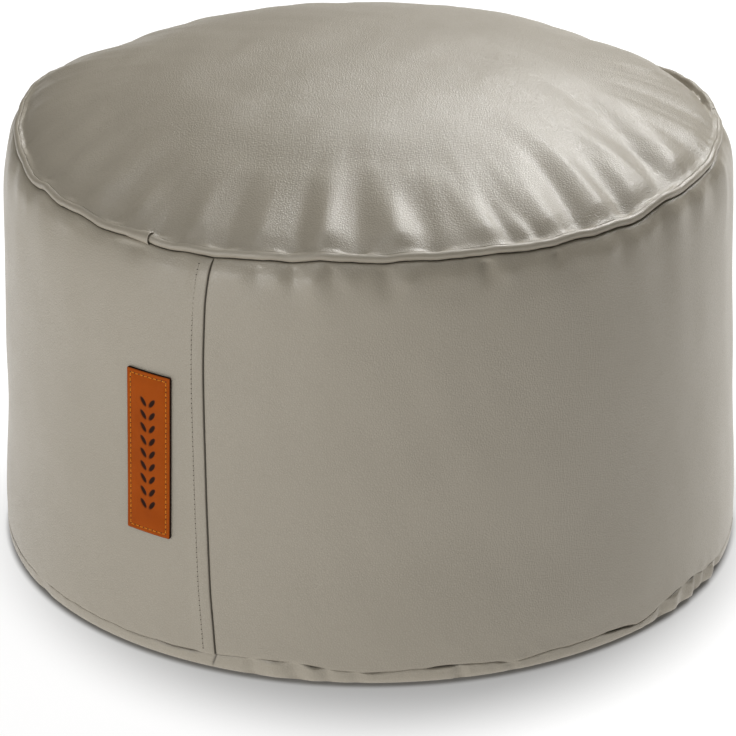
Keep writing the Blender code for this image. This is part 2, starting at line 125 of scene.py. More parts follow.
# The side's outer face: height and radius in metres, from the base seam up to the piping
WALL_PROFILE = (
    Row(0.01203, 0.2595), Row(0.0126, 0.2596), Row(0.0140, 0.2597), Row(0.0260, 0.2594), Row(0.0520, 0.2582),
    Row(0.0950, 0.2560), Row(0.1500, 0.2540), Row(0.2000, 0.2524), Row(0.2400, 0.2507), Row(0.2590, 0.2497),
    Row(0.2710, 0.2483), Row(0.2795, 0.2466), Row(0.2832, 0.2451), Row(0.2856, 0.2436), Row(0.2870, 0.2423),
    Row(0.2878, 0.2413), Row(0.2880, 0.2406),
)

# The base's turned-up edge, from the floor up to its seam
BAND_PROFILE = (
    Row(0.0000, 0.2522), Row(0.0004, 0.2547), Row(0.0015, 0.2571), Row(0.0034, 0.2587), Row(0.0066, 0.2596),
    Row(0.0106, 0.2598), Row(0.0114, 0.2597), Row(0.01197, 0.2595),
)

# Gathers of the top, from the left round the front to the right
TOP_GATHERS = (
    Gather(-174, 55, -3.4, 42, 0), Gather(-177, 14, 1.0, 60, 0), Gather(-168, 12, -1.2, 60, -2),
    Gather(-159, 12, 1.2, 65, 2), Gather(-153.5, 8, -1.2, 55, 2), Gather(-149, 8, 1.6, 60, 2),
    Gather(-145, 7, -1.6, 55, 2), Gather(-139.5, 9, 2.9, 90, 4), Gather(-133.8, 8, -2.7, 85, 5),
    Gather(-129, 7, 2.6, 60, -4), Gather(-124, 7, -2.4, 55, -3), Gather(-118, 9, 3.5, 90, -5),
    Gather(-112.2, 11, -3.2, 90, -3), Gather(-107.0, 8, 2.7, 70, -2), Gather(-101.2, 11, -3.4, 90, 0),
    Gather(-97, 9, 3.6, 105, -2), Gather(-91.8, 10, -4.6, 105, -1), Gather(-85.3, 9, 3.6, 100, -4),
    Gather(-79.8, 10, -4.6, 90, -4), Gather(-71.6, 9, 3.1, 80, -3), Gather(-66.8, 6, -3.3, 52, -3),
    Gather(-64.7, 5, 2.1, 36, -2), Gather(-62.4, 5, -3.0, 36, -2), Gather(-60.4, 9, 3.1, 95, 0),
    Gather(-55.4, 9.5, -4.6, 100, 4), Gather(-50.7, 11, 3.4, 130, 6), Gather(-45.4, 7, -3.0, 55, 2),
    Gather(-42.5, 9, 2.2, 75, 5), Gather(-37.3, 16, -5.4, 150, 27), Gather(-30, 18, 3.2, 120, 22),
    Gather(-27.8, 4.5, -0.8, 22, 2), Gather(-24.5, 8, 0.9, 50, 4), Gather(-21.6, 5, -0.7, 26, 2),
    Gather(-16, 10, 1.1, 50, 4), Gather(-10, 8, -0.9, 45, 3), Gather(-3, 12, 0.9, 55, 2),
    Gather(18, 78, -6.2, 60, 0),
)

# Gathers of the side, under the piping
WALL_GATHERS = (
    Gather(-183, 11, 1.4, 40, 1), Gather(-176, 9, -1.1, 35, 1), Gather(-169, 8, 1.6, 42, 3),
    Gather(-165, 6, -1.1, 26, 2), Gather(-161, 7, 1.4, 32, 2), Gather(-156, 7, 1.5, 36, 1),
    Gather(-150, 8, -0.8, 22, 1), Gather(-143, 5, 1.4, 15, 1), Gather(-139, 6, -0.6, 16, 0),
    Gather(-128, 13, -3.0, 18, 0), Gather(-122, 6, 1.1, 20, 0), Gather(-119, 6, -0.7, 14, 0),
    Gather(-109.5, 6, 1.7, 24, 0), Gather(-106.5, 5, -1.7, 24, 0), Gather(-103, 5, 2.0, 26, 0),
    Gather(-101, 4, -1.7, 22, 0), Gather(-98, 6, 2.5, 36, 0), Gather(-95.5, 4, -1.7, 26, 0),
    Gather(-92.7, 5, 1.7, 28, 0), Gather(-87.5, 6, -2.1, 28, 0), Gather(-84, 7, 3.0, 40, -1),
    Gather(-77, 8, 1.2, 26, 0), Gather(-72.3, 4.5, -3.6, 22, 0), Gather(-69, 6, 2.1, 32, 0),
    Gather(-61, 4, -3.6, 15, 0), Gather(-56, 7, 1.0, 28, 0), Gather(-51.5, 7, 2.1, 44, -1),
    Gather(-48.5, 5, -1.4, 28, 0), Gather(-45.5, 5, 1.4, 32, -1), Gather(-42.5, 5, 1.0, 26, 0),
    Gather(-39, 6, -1.8, 28, 0), Gather(-35, 7, 1.4, 42, -1), Gather(-31, 6, -1.0, 28, 0),
    Gather(-27, 7, 1.7, 46, -2), Gather(-21.5, 9, -1.6, 44, -2), Gather(-15.5, 8, 1.7, 64, -2),
    Gather(-9, 7, -0.9, 32, 0), Gather(-3, 9, 1.0, 48, 0),
)

# What the gathers round the back, which go on from those at the front, are like
BACK_TOP_GATHER = Gather(0, 10.5, 1.15, 48, 0)
BACK_WALL_GATHER = Gather(0, 7.0, 1.05, 32, 0)

# Pleats across the base's turned-up edge
BAND_PLEATS = (
    Gather(-150, 7, -1.2, 12, 0), Gather(-107.5, 4, -2.1, 12, 0), Gather(-104, 5, 1.2, 12, 0),
    Gather(-101, 5, -2.4, 12, 0), Gather(-98.5, 4, 1.2, 12, 0), Gather(-96.3, 3, -2.1, 12, 0),
    Gather(-92, 4, -1.5, 12, 0), Gather(-77, 4, -2.4, 12, 0), Gather(-69, 4, -1.7, 12, 0),
    Gather(-40.5, 4, -2.8, 12, 0), Gather(-37.5, 5, 1.7, 12, 0), Gather(-34.8, 3, -1.5, 12, 0),
    Gather(-32.7, 4, 2.0, 12, 0), Gather(-30.5, 5, -3.3, 12, 0), Gather(-27.7, 3, -2.1, 12, 0),
    Gather(-25.5, 4, 2.0, 12, 0), Gather(-22, 5, -2.8, 12, 0),
)

# Where the side seam lies: height in metres, angle in degrees
SIDE_SEAM = (
    Row(0.000, -112.85), Row(0.030, -113.35), Row(0.062, -113.90), Row(0.130, -114.40), Row(0.210, -114.60),
    Row(0.256, -114.30), Row(0.275, -113.95), Row(0.292, -113.50),
)


@dataclass(frozen=True)
class SmoothCurve:
    """A smooth curve through rows, which never overshoots them and may close on itself."""

    rows: tuple
    period: float = 0.0

    def at(self, places: Array) -> Array:
        """Read the curve.

        Args:
            places: Where to read it.

        Returns:
            The curve's values there.
        """
        x = np.array([row.place for row in self.rows], float)
        y = np.array([row.value for row in self.rows], float)
        where = np.asarray(places, float)
        if self.period:
            where = (where - x[0]) % self.period + x[0]
            x = np.concatenate((x[-2:] - self.period, x, x[:2] + self.period))
            y = np.concatenate((y[-2:], y, y[:2]))
        steps = np.diff(x)
        slopes = np.diff(y) / steps
        same_way = slopes[:-1] * slopes[1:] > 0.0
        mean = 2.0 * slopes[:-1] * slopes[1:] / np.where(same_way, slopes[:-1] + slopes[1:], 1.0)
        tangents = np.concatenate((slopes[:1], np.where(same_way, mean, 0.0), slopes[-1:]))
        i = np.clip(np.searchsorted(x, where, side="right") - 1, 0, len(steps) - 1)
        s = np.clip((where - x[i]) / steps[i], 0.0, 1.0)
        near = (1.0 + 2.0 * s) * (1.0 - s) ** 2 * y[i] + s * (1.0 - s) ** 2 * steps[i] * tangents[i]
        far = s * s * (3.0 - 2.0 * s) * y[i + 1] - s * s * (1.0 - s) * steps[i] * tangents[i + 1]
        return near + far


def ease(share: Array) -> Array:
    """Ease from 0 to 1 as the share goes from 0 to 1, and stay level outside."""
    s = np.clip(share, 0.0, 1.0)
    return s * s * (3.0 - 2.0 * s)


def turn_between(angle: Array, other: Array) -> Array:
    """Return the signed turn in degrees from the other angle, the short way round."""
    return (np.asarray(angle) - other + 180.0) % 360.0 - 180.0


def dip(across: Array, width: float) -> Array:
    """Return a smooth bump of height 1 at 0, which is gone two widths away."""
    return np.exp(-((across / width) ** 2))


def waving(waves: tuple, angle: Array) -> Array:
    """Return the sum of even waves at angles in degrees."""
    turn = np.radians(angle)
    return sum(wave.height * np.cos(wave.count * turn + wave.phase) for wave in waves)


@dataclass(frozen=True)
class Ripple:
    """Unevenness made of a few waves in random directions, the same each run.

    Attributes:
        seed: Which set of waves.
        length: Their mean length, in metres.
        waves: How many there are.
    """

    seed: int
    length: float
    waves: int = 14

    def at(self, points: Array) -> Array:
        """Read the unevenness.

        Args:
            points: Where, of shape (..., 3).

        Returns:
            The unevenness there, about -1 to 1.
        """
        rng = np.random.default_rng(self.seed)
        ways = rng.normal(size=(self.waves, 3))
        ways /= np.linalg.norm(ways, axis=1, keepdims=True)
        turns = math.tau / self.length * rng.uniform(0.6, 1.6, self.waves)
        phases = rng.uniform(0.0, math.tau, self.waves)
        total = np.zeros(points.shape[:-1])
        for way, turn, phase in zip(ways, turns, phases):
            total += np.cos(points @ way * turn + phase)
        return total / math.sqrt(2.0 * self.waves)


@dataclass(frozen=True)
class Crinkle:
    """Fine puckers that run away from a seam, the same each run.

    Attributes:
        seed: Which set of puckers.
        counts: Least and most puckers round the stool.
        height: Their height in metres.
        reach: How far they run, in metres.
    """

    seed: int
    counts: tuple
    height: float
    reach: float

    def at(self, angle: Array, distance: Array) -> Array:
        """Read the puckers.

        Args:
            angle: Angles in degrees.
            distance: Distances from the seam in metres.

        Returns:
            How far the puckers stand out, in metres.
        """
        rng = np.random.default_rng(self.seed)
        total = np.zeros(np.broadcast(angle, distance).shape)
        turn = np.radians(angle)
        for count in rng.integers(self.counts[0], self.counts[1], 9):
            drift = rng.normal() * 0.06 / self.reach
            phase = rng.uniform(0.0, math.tau)
            total = total + np.cos(count * (turn + drift * distance) + phase)
        patchy = 0.55 + 0.45 * np.cos(7.0 * turn + self.seed) * np.cos(3.0 * turn + 1.3)
        along = ease(distance / (0.18 * self.reach)) * (1.0 - ease(distance / self.reach)) ** 2
        return self.height * total / 3.0 * patchy * along


@dataclass(frozen=True)
class StoolForm:
    """The sizes and lines that the sewn pieces share."""

    seam_height: float = 0.2910
    seam_radius: float = 0.2390
    seam_shift: float = -0.0015
    crown_rise: float = 0.0555
    crown_roundness: float = 2.5
    crown_edge: float = 0.75
    crown_calm: float = 0.55
    base_seam_height: float = 0.0120
    base_seam_radius: float = 0.2578
    base_wave_height: float = 0.040
    base_groove: float = 0.0010
    base_roll: float = 0.0008
    # Painted shade in the base seam's groove, as a share.
    foot_shade: float = 0.8
    groove_least: float = 0.06
    opening_gain: float = 0.7
    opening_level: float = 0.1
    tight_angle: float = -142.0
    tight_spread: float = 27.0
    tight_hold: float = 0.92
    core_drop: float = 0.006
    core_radius: float = 0.18
    parting: float = 0.3 * MM
    home_height: float = 0.15
    piping_radius: float = 0.00265
    crease_root: float = 0.0045
    crest_root: float = 0.0125
    fold_fade: float = 1.3
    long_fold: float = 100.0
    crease_sharpness: float = 1.7
    crest_sharpness: float = 1.9
    back_start: float = 9.0
    back_end: float = 170.0

    def seam_lift(self, angle: Array) -> Array:
        """Return the piped seam's rise above its mean height, in metres."""
        return (SmoothCurve(TOP_SEAM_LIFTS, 360.0).at(angle) + waving(TOP_SEAM_WOBBLE, angle)) * MM

    def seam_draw(self, angle: Array) -> Array:
        """Return how far the piped seam stands out beyond its mean radius, in metres."""
        return waving(TOP_SEAM_DRAW, angle) * MM

    def base_lift(self, angle: Array) -> Array:
        """Return the base seam's rise above its mean height, in metres."""
        return (SmoothCurve(BASE_SEAM_LIFTS, 360.0).at(angle) + waving(BASE_SEAM_WOBBLE, angle)) * MM

    def base_opening(self, angle: Array) -> Array:
        """Return how deep the groove at the base seam is, which opens here and there.

        Args:
            angle: Angles in degrees.

        Returns:
            The depths in metres.
        """
        gape = ease(self.opening_gain * waving(BASE_SEAM_OPENING, angle) - self.opening_level)
        held = 1.0 - self.tight_hold * dip(turn_between(angle, self.tight_angle), self.tight_spread)
        return self.base_groove * (self.groove_least + (1.0 - self.groove_least) * gape) * held

    def side_seam(self, height: Array) -> Array:
        """Return the side seam's angle at a height."""
        return SmoothCurve(SIDE_SEAM).at(height)

    def seam_home(self) -> float:
        """Return the side seam's angle half way up."""
        return float(self.side_seam(np.array(self.home_height)))

    def turned(self, angle: Array, degrees: float, contact: float) -> Array:
        """Return a ring of leather that is turned round the piping.

        Args:
            angle: Angles round the stool in degrees.
            degrees: Where the ring lies round the piping, from straight out and upwards.
            contact: How far the leather lies from the piping's middle, in metres.

        Returns:
            Points of shape (angles, 3).
        """
        turn = math.radians(degrees)
        radius = self.seam_radius + self.seam_draw(angle) + contact * math.cos(turn)
        height = self.seam_height + self.seam_lift(angle) + contact * math.sin(turn)
        return polar(angle, radius, height, self.seam_shift)

    def wall_radius(self, height: Array) -> Array:
        """Return the side's mean radius at a height, in metres."""
        return SmoothCurve(WALL_PROFILE).at(height)

    def crown(self, radius: Array) -> Array:
        """Return the crown's height above the seam at a radius, in metres."""
        share = np.clip(radius / self.seam_radius, 0.0, 1.0)
        return self.crown_rise * (1.0 - share**self.crown_roundness) ** self.crown_edge

    def all_gathers(self, side: Side) -> tuple:
        """Return the gathers of one side of the seam, with like ones all round the back.

        Args:
            side: Which leather.

        Returns:
            The gathers, those of the front first.
        """
        front, like, seed = {
            Side.TOP: (TOP_GATHERS, BACK_TOP_GATHER, 5),
            Side.WALL: (WALL_GATHERS, BACK_WALL_GATHER, 8),
        }[side]
        rng = np.random.default_rng(seed)
        rows = []
        angle = self.back_start
        way = -1.0
        while angle < self.back_end - 1.0:
            size = rng.uniform(0.65, 1.35)
            rows.append(Gather(
                angle, like.width * rng.uniform(0.75, 1.15), like.height * size * way,
                like.reach * rng.uniform(0.7, 1.3), rng.uniform(-3.0, 3.0),
            ))
            angle += rng.uniform(4.2, 6.2)
            way = -way
        return front + tuple(rows)

    def gathered(self, side: Side, angle: Array, distance: Array, radius: Array) -> Array:
        """Return how far the gathers push the leather out.

        Args:
            side: Which leather.
            angle: Angles in degrees.
            distance: Distances from the seam in metres.
            radius: Distances from the stool's axis in metres.

        Returns:
            The relief in metres.
        """
        total = np.zeros(np.broadcast(angle, distance).shape)
        for row in self.all_gathers(side):
            share = np.clip(distance / (row.reach * MM), 0.0, 1.0)
            turn = turn_between(angle, row.angle + row.drift * share)
            width = row.width * MM * (1.0 + 0.5 * share)
            across = np.radians(turn) * radius / width
            sharp, root = self.crest_sharpness, self.crest_root
            if row.height < 0.0:
                sharp, root = self.crease_sharpness, self.crease_root
            body = np.exp(-np.abs(across) ** sharp)
            fade = min(self.fold_fade, self.long_fold / row.reach)
            along = ease(distance / root) * (1.0 - ease(share)) ** fade
            total = total + row.height * MM * body * along
        return total

    def top_share(self, height: Array) -> Array:
        """Return how much of the piped seam's rise the side follows at a height."""
        return ease(height / self.seam_height) ** 3

    def base_share(self, height: Array) -> Array:
        """Return how much of the base seam's rise the side follows at a height."""
        return ease((self.base_wave_height - height) / (self.base_wave_height - self.base_seam_height))


FORM = StoolForm()


def polar(angle: Array, radius: Array, height: Array, shift: Array) -> Array:
    """Return points from angles, radii and heights, with a shift along X."""
    turn = np.radians(angle)
    angle, radius, height, shift = np.broadcast_arrays(turn, radius, height, shift)
    return np.stack((radius * np.cos(angle) + shift, radius * np.sin(angle), height), axis=-1)


def crowded_angles(columns: int, centre: float, offsets: Array) -> Array:
    """Return regular angles round the stool, replaced by closer ones near a seam.

    Args:
        columns: How many regular angles there are.
        centre: The seam's angle in degrees.
        offsets: The closer angles' turns from the seam in degrees, in rising order.

    Returns:
        The angles from 0 to 360, in rising order.
    """
    regular = np.arange(columns) * 360.0 / columns
    turn = turn_between(regular, centre)
    keep = (turn < offsets[0] - 0.2) | (turn > offsets[-1] + 0.2)
    return np.sort(np.concatenate((regular[keep], (centre + offsets) % 360.0)))


def made(name: str, points: Array, faces: list) -> bpy.types.Object:
    """Make an object and put it in the scene.

    Args:
        name: Its name.
        points: Its points, of shape (points, 3).
        faces: The points of each face.

    Returns:
        The object, shaded smooth.
    """
    mesh = bpy.data.meshes.new(name)
    mesh.from_pydata(points.tolist(), [], faces)
    mesh.shade_smooth()
    obj = bpy.data.objects.new(name, mesh)
    bpy.context.scene.collection.objects.link(obj)
    return obj


def ring_faces(count: int, columns: int) -> Array:
    """Return the faces between closed rings of points, which are numbered ring by ring.

    Args:
        count: How many rings there are.
        columns: How many points each ring has.

    Returns:
        Faces of shape (faces, 4), which point out when anticlockwise rings run from top to bottom.
    """
    here = np.arange(count * columns).reshape(count, columns)
    after = np.roll(here, -1, axis=1)
    return np.stack((here[:-1], here[1:], after[1:], after[:-1]), axis=-1).reshape(-1, 4)


def lofted(name: str, rings: Array, first_pole: tuple, last_pole: tuple) -> bpy.types.Object:
    """Skin closed rings of points from one pole to the other.

    Args:
        name: The object's name.
        rings: Points of shape (rings, columns, 3), each ring running anticlockwise seen from above.
        first_pole: The point that closes the first ring.
        last_pole: The point that closes the last ring.

    Returns:
        The object, one closed surface with its faces pointing out when the rings run from top to bottom.
    """
    count, columns = rings.shape[:2]
    points = np.concatenate((rings.reshape(-1, 3), [first_pole, last_pole]))
    first, last = len(points) - 2, len(points) - 1
    ring = list(range(columns))
    after = ring[1:] + ring[:1]
    foot = (count - 1) * columns
    caps = [(first, a, b) for a, b in zip(ring, after)]
    caps += [(last, foot + b, foot + a) for a, b in zip(ring, after)]
    return made(name, points, ring_faces(count, columns).tolist() + caps)


def mark(obj: bpy.types.Object, name: str, values: Array) -> None:
    """Store one number per point, which a material reads by its name."""
    attribute = obj.data.attributes.new(name, "FLOAT", "POINT")
    attribute.data.foreach_set("value", np.asarray(values, np.float32).ravel())


@dataclass(frozen=True)
class Puckers:
    """How a sewn panel moved when it was settled, on a grid of places and angles.

    Attributes:
        places: Shares of the top's radius, or distances below the side's seam in metres, in rising order.
        moves: Moves out, round and up, of shape (places, angles, 3).
    """

    places: Array
    moves: Array

    def at(self, place: Array, angle: Array) -> Array:
        """Read the moves between the grid's points.

        Args:
            place: Where, in the same terms as the grid's places.
            angle: Angles in degrees.

        Returns:
            The moves out, round and up, in metres.
        """
        place, angle = np.broadcast_arrays(place, angle)
        count = self.moves.shape[1]
        row = np.interp(place, self.places, np.arange(len(self.places)))
        column = (angle % 360.0) * count / 360.0
        low, left = np.minimum(row.astype(int), len(self.places) - 2), column.astype(int)
        down, across = (row - low)[..., None], (column - left)[..., None]
        left, right = left % count, (left + 1) % count
        near = self.moves[low, left] * (1.0 - across) + self.moves[low, right] * across
        far = self.moves[low + 1, left] * (1.0 - across) + self.moves[low + 1, right] * across
        return near * (1.0 - down) + far * down

    def moved(self, points: Array, place: Array, angle: Array, share: Array) -> Array:
        """Move points with the panel.

        Args:
            points: The points, of shape (..., 3).
            place: Where they are, in the same terms as the grid's places.
            angle: Their angles in degrees.
            share: How much of the panel's moves each one takes.

        Returns:
            The moved points.
        """
        move = self.at(place, angle) * np.asarray(share)[..., None]
        turn = np.radians(np.broadcast_to(angle, move.shape[:-1]))
        out, round_about, up = move[..., 0], move[..., 1], move[..., 2]
        x = out * np.cos(turn) - round_about * np.sin(turn)
        y = out * np.sin(turn) + round_about * np.cos(turn)
        return points + np.stack((x, y, up), axis=-1)


@dataclass(frozen=True)
class Filling:
    """Cloth simulation in which the filling presses a sewn panel out, so that it puckers between its seams.

    Attributes:
        columns: Points round the stool.
        frames: Frames of the simulation.
        quality: Steps in each frame.
        pressure: The filling's pressure.
        tension: Stiffness against stretching.
        shear_share: Stiffness against shear, as a share of the tension.
        bending: Stiffness against bending.
        growth: How much longer than its seam the panel was cut.
        cap: The furthest that a point may move, in metres.
        softening: How often each move is averaged with its neighbours'.
    """

    columns: int = 420
    frames: int = 18
    quality: int = 4
    pressure: float = 3.0
    tension: float = 20.0
    shear_share: float = 0.3
    bending: float = 0.6
    growth: float = 0.004
    cap: float = 0.0008
    softening: int = 6

    def angles(self) -> Array:
        """Return the columns' angles."""
        return np.arange(self.columns) * 360.0 / self.columns

    def settle(self, name: str, places: Array, rings: Array) -> Puckers:
        """Settle a panel whose first and last rings are sewn down.

        Args:
            name: The panel's name.
            places: Where the rings are, in rising order.
            rings: Points of shape (rings, columns, 3), from the inside out seen from above.

        Returns:
            The panel's puckers, without its even swelling.
        """
        faces = ring_faces(len(rings), self.columns).tolist()
        obj = made(name, rings.reshape(-1, 3), faces)
        mesh = obj.data
        last = len(mesh.vertices) - self.columns
        sewn = obj.vertex_groups.new(name="sewn")
        sewn.add([*range(self.columns), *range(last, last + self.columns)], 1.0, "REPLACE")
        cloth = obj.modifiers.new("cloth", "CLOTH")
        cloth.point_cache.frame_start, cloth.point_cache.frame_end = 1, self.frames
        setup = cloth.settings
        setup.quality = self.quality
        setup.vertex_group_mass = "sewn"
        setup.use_pressure = True
        setup.uniform_pressure_force = self.pressure
        setup.tension_stiffness = setup.compression_stiffness = self.tension
        setup.shear_stiffness = self.shear_share * self.tension
        setup.bending_stiffness = self.bending
        setup.shrink_min = -self.growth
        setup.effector_weights.gravity = 0.0
        scene = bpy.context.scene
        for step in range(1, self.frames + 1):
            scene.frame_set(step)
        settled = obj.evaluated_get(bpy.context.evaluated_depsgraph_get())
        flat = np.empty(rings.size, np.float32)
        settled.data.vertices.foreach_get("co", flat)
        move = flat.reshape(rings.shape).astype(float) - rings
        bpy.data.objects.remove(obj)
        bpy.data.meshes.remove(mesh)
        scene.frame_set(1)
        turn = np.radians(self.angles())
        out = move[..., 0] * np.cos(turn) + move[..., 1] * np.sin(turn)
        round_about = move[..., 1] * np.cos(turn) - move[..., 0] * np.sin(turn)
        moves = np.stack((out, round_about, move[..., 2]), axis=-1)
        moves = self.softened(moves - moves.mean(axis=1, keepdims=True))
        size = np.linalg.norm(moves, axis=-1, keepdims=True)
        log.info("%s settled: %.1f mm at most before the cap", name, size.max() / MM)
        return Puckers(places, moves * self.cap * np.tanh(size / self.cap) / np.maximum(size, 1e-9))

    def softened(self, moves: Array) -> Array:
        """Average each move with its neighbours', so that no single point stands out.

        Args:
            moves: Moves of shape (places, angles, 3).

        Returns:
            The softened moves.
        """
        for _ in range(self.softening):
            moves = 0.5 * moves + 0.25 * (np.roll(moves, 1, axis=1) + np.roll(moves, -1, axis=1))
            wide = np.concatenate((moves[:1], moves, moves[-1:]))
            moves = 0.5 * moves + 0.25 * (wide[:-2] + wide[2:])
        return moves


class Wiring:
    """Places nodes in a tree and links them."""

    def __init__(self, tree: bpy.types.NodeTree) -> None:
        """Take over a node tree."""
        self.tree = tree

    def add(self, kind: str, **settings: object) -> bpy.types.Node:
        """Add a node, with its properties and, by index or name, its inputs' values.

        Args:
            kind: The node's type.
            **settings: Properties of the node; `values` maps inputs to numbers, `links` inputs to outputs.

        Returns:
            The node.
        """
        values = settings.pop("values", {})
        links = settings.pop("links", {})
        node = self.tree.nodes.new(kind)
        for key, value in settings.items():
            setattr(node, key, value)
        for key, value in values.items():
            node.inputs[key].default_value = value
        for key, output in links.items():
            self.tree.links.new(output, node.inputs[key])
        return node

    def math(self, operation: str, first: Feed, second: Feed = 0.0, third: Feed = 0.0) -> Socket:
        """Combine numbers or outputs.

        Args:
            operation: The Math node's operation.
            first: Its first number or output.
            second: Its second one.
            third: Its third one.

        Returns:
            The result's output.
        """
        node = self.add("ShaderNodeMath", operation=operation)
        for index, value in enumerate((first, second, third)):
            if isinstance(value, Socket):
                self.tree.links.new(value, node.inputs[index])
            else:
                node.inputs[index].default_value = value
        return node.outputs[0]

    def ranged(self, value: Socket, low: float, high: float, out_low: float = 0.0,
               out_high: float = 1.0) -> Socket:
        """Map a value's range smoothly onto another.

        Args:
            value: The value's output.
            low: Where its range starts.
            high: Where its range ends.
            out_low: Where the new range starts.
            out_high: Where the new range ends.

        Returns:
            The result's output.
        """
        node = self.add("ShaderNodeMapRange", interpolation_type="SMOOTHSTEP", links={"Value": value})
        for name, number in zip(("From Min", "From Max", "To Min", "To Max"), (low, high, out_low, out_high)):
            node.inputs[name].default_value = number
        return node.outputs["Result"]

    def blend(self, share: Socket, first: Shade, second: Shade) -> Socket:
        """Mix two colours, given as outputs or as red, green and blue.

        Args:
            share: How much of the second colour there is.
            first: The first colour.
            second: The second colour.

        Returns:
            The mixed colour's output.
        """
        node = self.add("ShaderNodeMix", data_type="RGBA")
        colours = [socket for socket in node.inputs if socket.type == "RGBA"]
        factor = next(socket for socket in node.inputs if socket.type == "VALUE")
        self.tree.links.new(share, factor)
        for socket, value in zip(colours, (first, second)):
            if isinstance(value, Socket):
                self.tree.links.new(value, socket)
            else:
                socket.default_value = (*value, 1.0)
        return next(socket for socket in node.outputs if socket.type == "RGBA")


def group_tree(name: str, inputs: dict, outputs: tuple) -> tuple:
    """Start a shader node group with named number sockets.

    Args:
        name: The group's name.
        inputs: Input names and their default values.
        outputs: Output names.

    Returns:
        The tree, its wiring, its input node and its output node.
    """
    tree = bpy.data.node_groups.new(name, "ShaderNodeTree")
    for label, value in inputs.items():
        socket = tree.interface.new_socket(label, in_out="INPUT", socket_type="NodeSocketFloat")
        socket.default_value = value
    for label in outputs:
        tree.interface.new_socket(label, in_out="OUTPUT", socket_type="NodeSocketFloat")
    wiring = Wiring(tree)
    return tree, wiring, wiring.add("NodeGroupInput"), wiring.add("NodeGroupOutput")


@dataclass(frozen=True)
class PebbleGrain:
    """The embossed grain of artificial leather: rounded pebbles, parted by fine creases."""

    size: float = 1.3
    warp: float = 0.5
    warp_scale: float = 0.55
    warp_reach: float = 2.2
    dome_width: float = 0.30
    dome_share: float = 0.78
    small_scale: float = 2.1
    small_width: float = 0.25
    small_share: float = 0.22
    crease_width: float = 0.10

    def group(self) -> bpy.types.NodeTree:
        """Build the group.

        Returns:
            A group with a pebble size in millimetres and a warp, which puts out a height and a crease mask.
        """
        given_values = {"Size": self.size, "Warp": self.warp}
        tree, wire, given, put = group_tree("Pebble grain", given_values, ("Height", "Crease"))
        place = wire.add("ShaderNodeTexCoord").outputs["Object"]
        density = wire.math("DIVIDE", 1.0 / MM, given.outputs["Size"])
        warp_density = wire.math("MULTIPLY", density, self.warp_scale)
        warp = wire.add("ShaderNodeTexNoise", links={"Vector": place, "Scale": warp_density})
        centred = wire.add("ShaderNodeVectorMath", operation="SUBTRACT", values={1: (0.5, 0.5, 0.5)},
                           links={0: warp.outputs["Color"]})
        reach = wire.math("MULTIPLY", wire.math("DIVIDE", given.outputs["Warp"], density), self.warp_reach)
        pushed = wire.add("ShaderNodeVectorMath", operation="SCALE",
                          links={0: centred.outputs[0], "Scale": reach})
        moved = wire.add("ShaderNodeVectorMath", operation="ADD", links={0: place, 1: pushed.outputs[0]})
        cells = wire.add("ShaderNodeTexVoronoi", feature="DISTANCE_TO_EDGE",
                         links={"Vector": moved.outputs[0], "Scale": density})
        dome = wire.ranged(cells.outputs["Distance"], 0.0, self.dome_width)
        small_density = wire.math("MULTIPLY", density, self.small_scale)
        fine = wire.add("ShaderNodeTexVoronoi", feature="DISTANCE_TO_EDGE",
                        links={"Vector": moved.outputs[0], "Scale": small_density})
        small = wire.ranged(fine.outputs["Distance"], 0.0, self.small_width)
        large_part = wire.math("MULTIPLY", dome, self.dome_share)
        small_part = wire.math("MULTIPLY", small, self.small_share)
        tree.links.new(wire.math("ADD", large_part, small_part), put.inputs["Height"])
        crease = wire.ranged(cells.outputs["Distance"], 0.0, self.crease_width, 1.0, 0.0)
        tree.links.new(crease, put.inputs["Crease"])
        return tree


@dataclass(frozen=True)
class HandledSurface:
    """The unevenness that handling leaves in a surface."""

    size: float = 0.09
    gloss_scale: float = 3.1
    detail: float = 4.0
    roughness: float = 0.55
    gain: float = 4.0

    def group(self) -> bpy.types.NodeTree:
        """Build the group.

        Returns:
            A group with a patch size in metres, which puts out a tone and a gloss, each about -1 to 1.
        """
        tree, wire, given, put = group_tree("Handled surface", {"Size": self.size}, ("Tone", "Gloss"))
        place = wire.add("ShaderNodeTexCoord").outputs["Object"]
        density = wire.math("DIVIDE", 1.0, given.outputs["Size"])
        for label, factor in (("Tone", 1.0), ("Gloss", self.gloss_scale)):
            kind = {"Detail": self.detail, "Roughness": self.roughness}
            noise = wire.add("ShaderNodeTexNoise", values=kind,
                             links={"Vector": place, "Scale": wire.math("MULTIPLY", density, factor)})
            spread = wire.math("MULTIPLY_ADD", noise.outputs["Fac"], self.gain, -0.5 * self.gain)
            tree.links.new(spread, put.inputs[label])
        return tree


class SharedEffects:
    """The node groups that more than one material uses, each built once."""

    def __init__(self) -> None:
        """Build the groups."""
        self.grain = PebbleGrain().group()
        self.handled = HandledSurface().group()


def new_material(name: str) -> tuple:
    """Start a material and return it with its wiring and its Principled shader."""
    material = bpy.data.materials.new(name)
    material.use_nodes = True
    shader = material.node_tree.nodes["Principled BSDF"]
    return material, Wiring(material.node_tree), shader


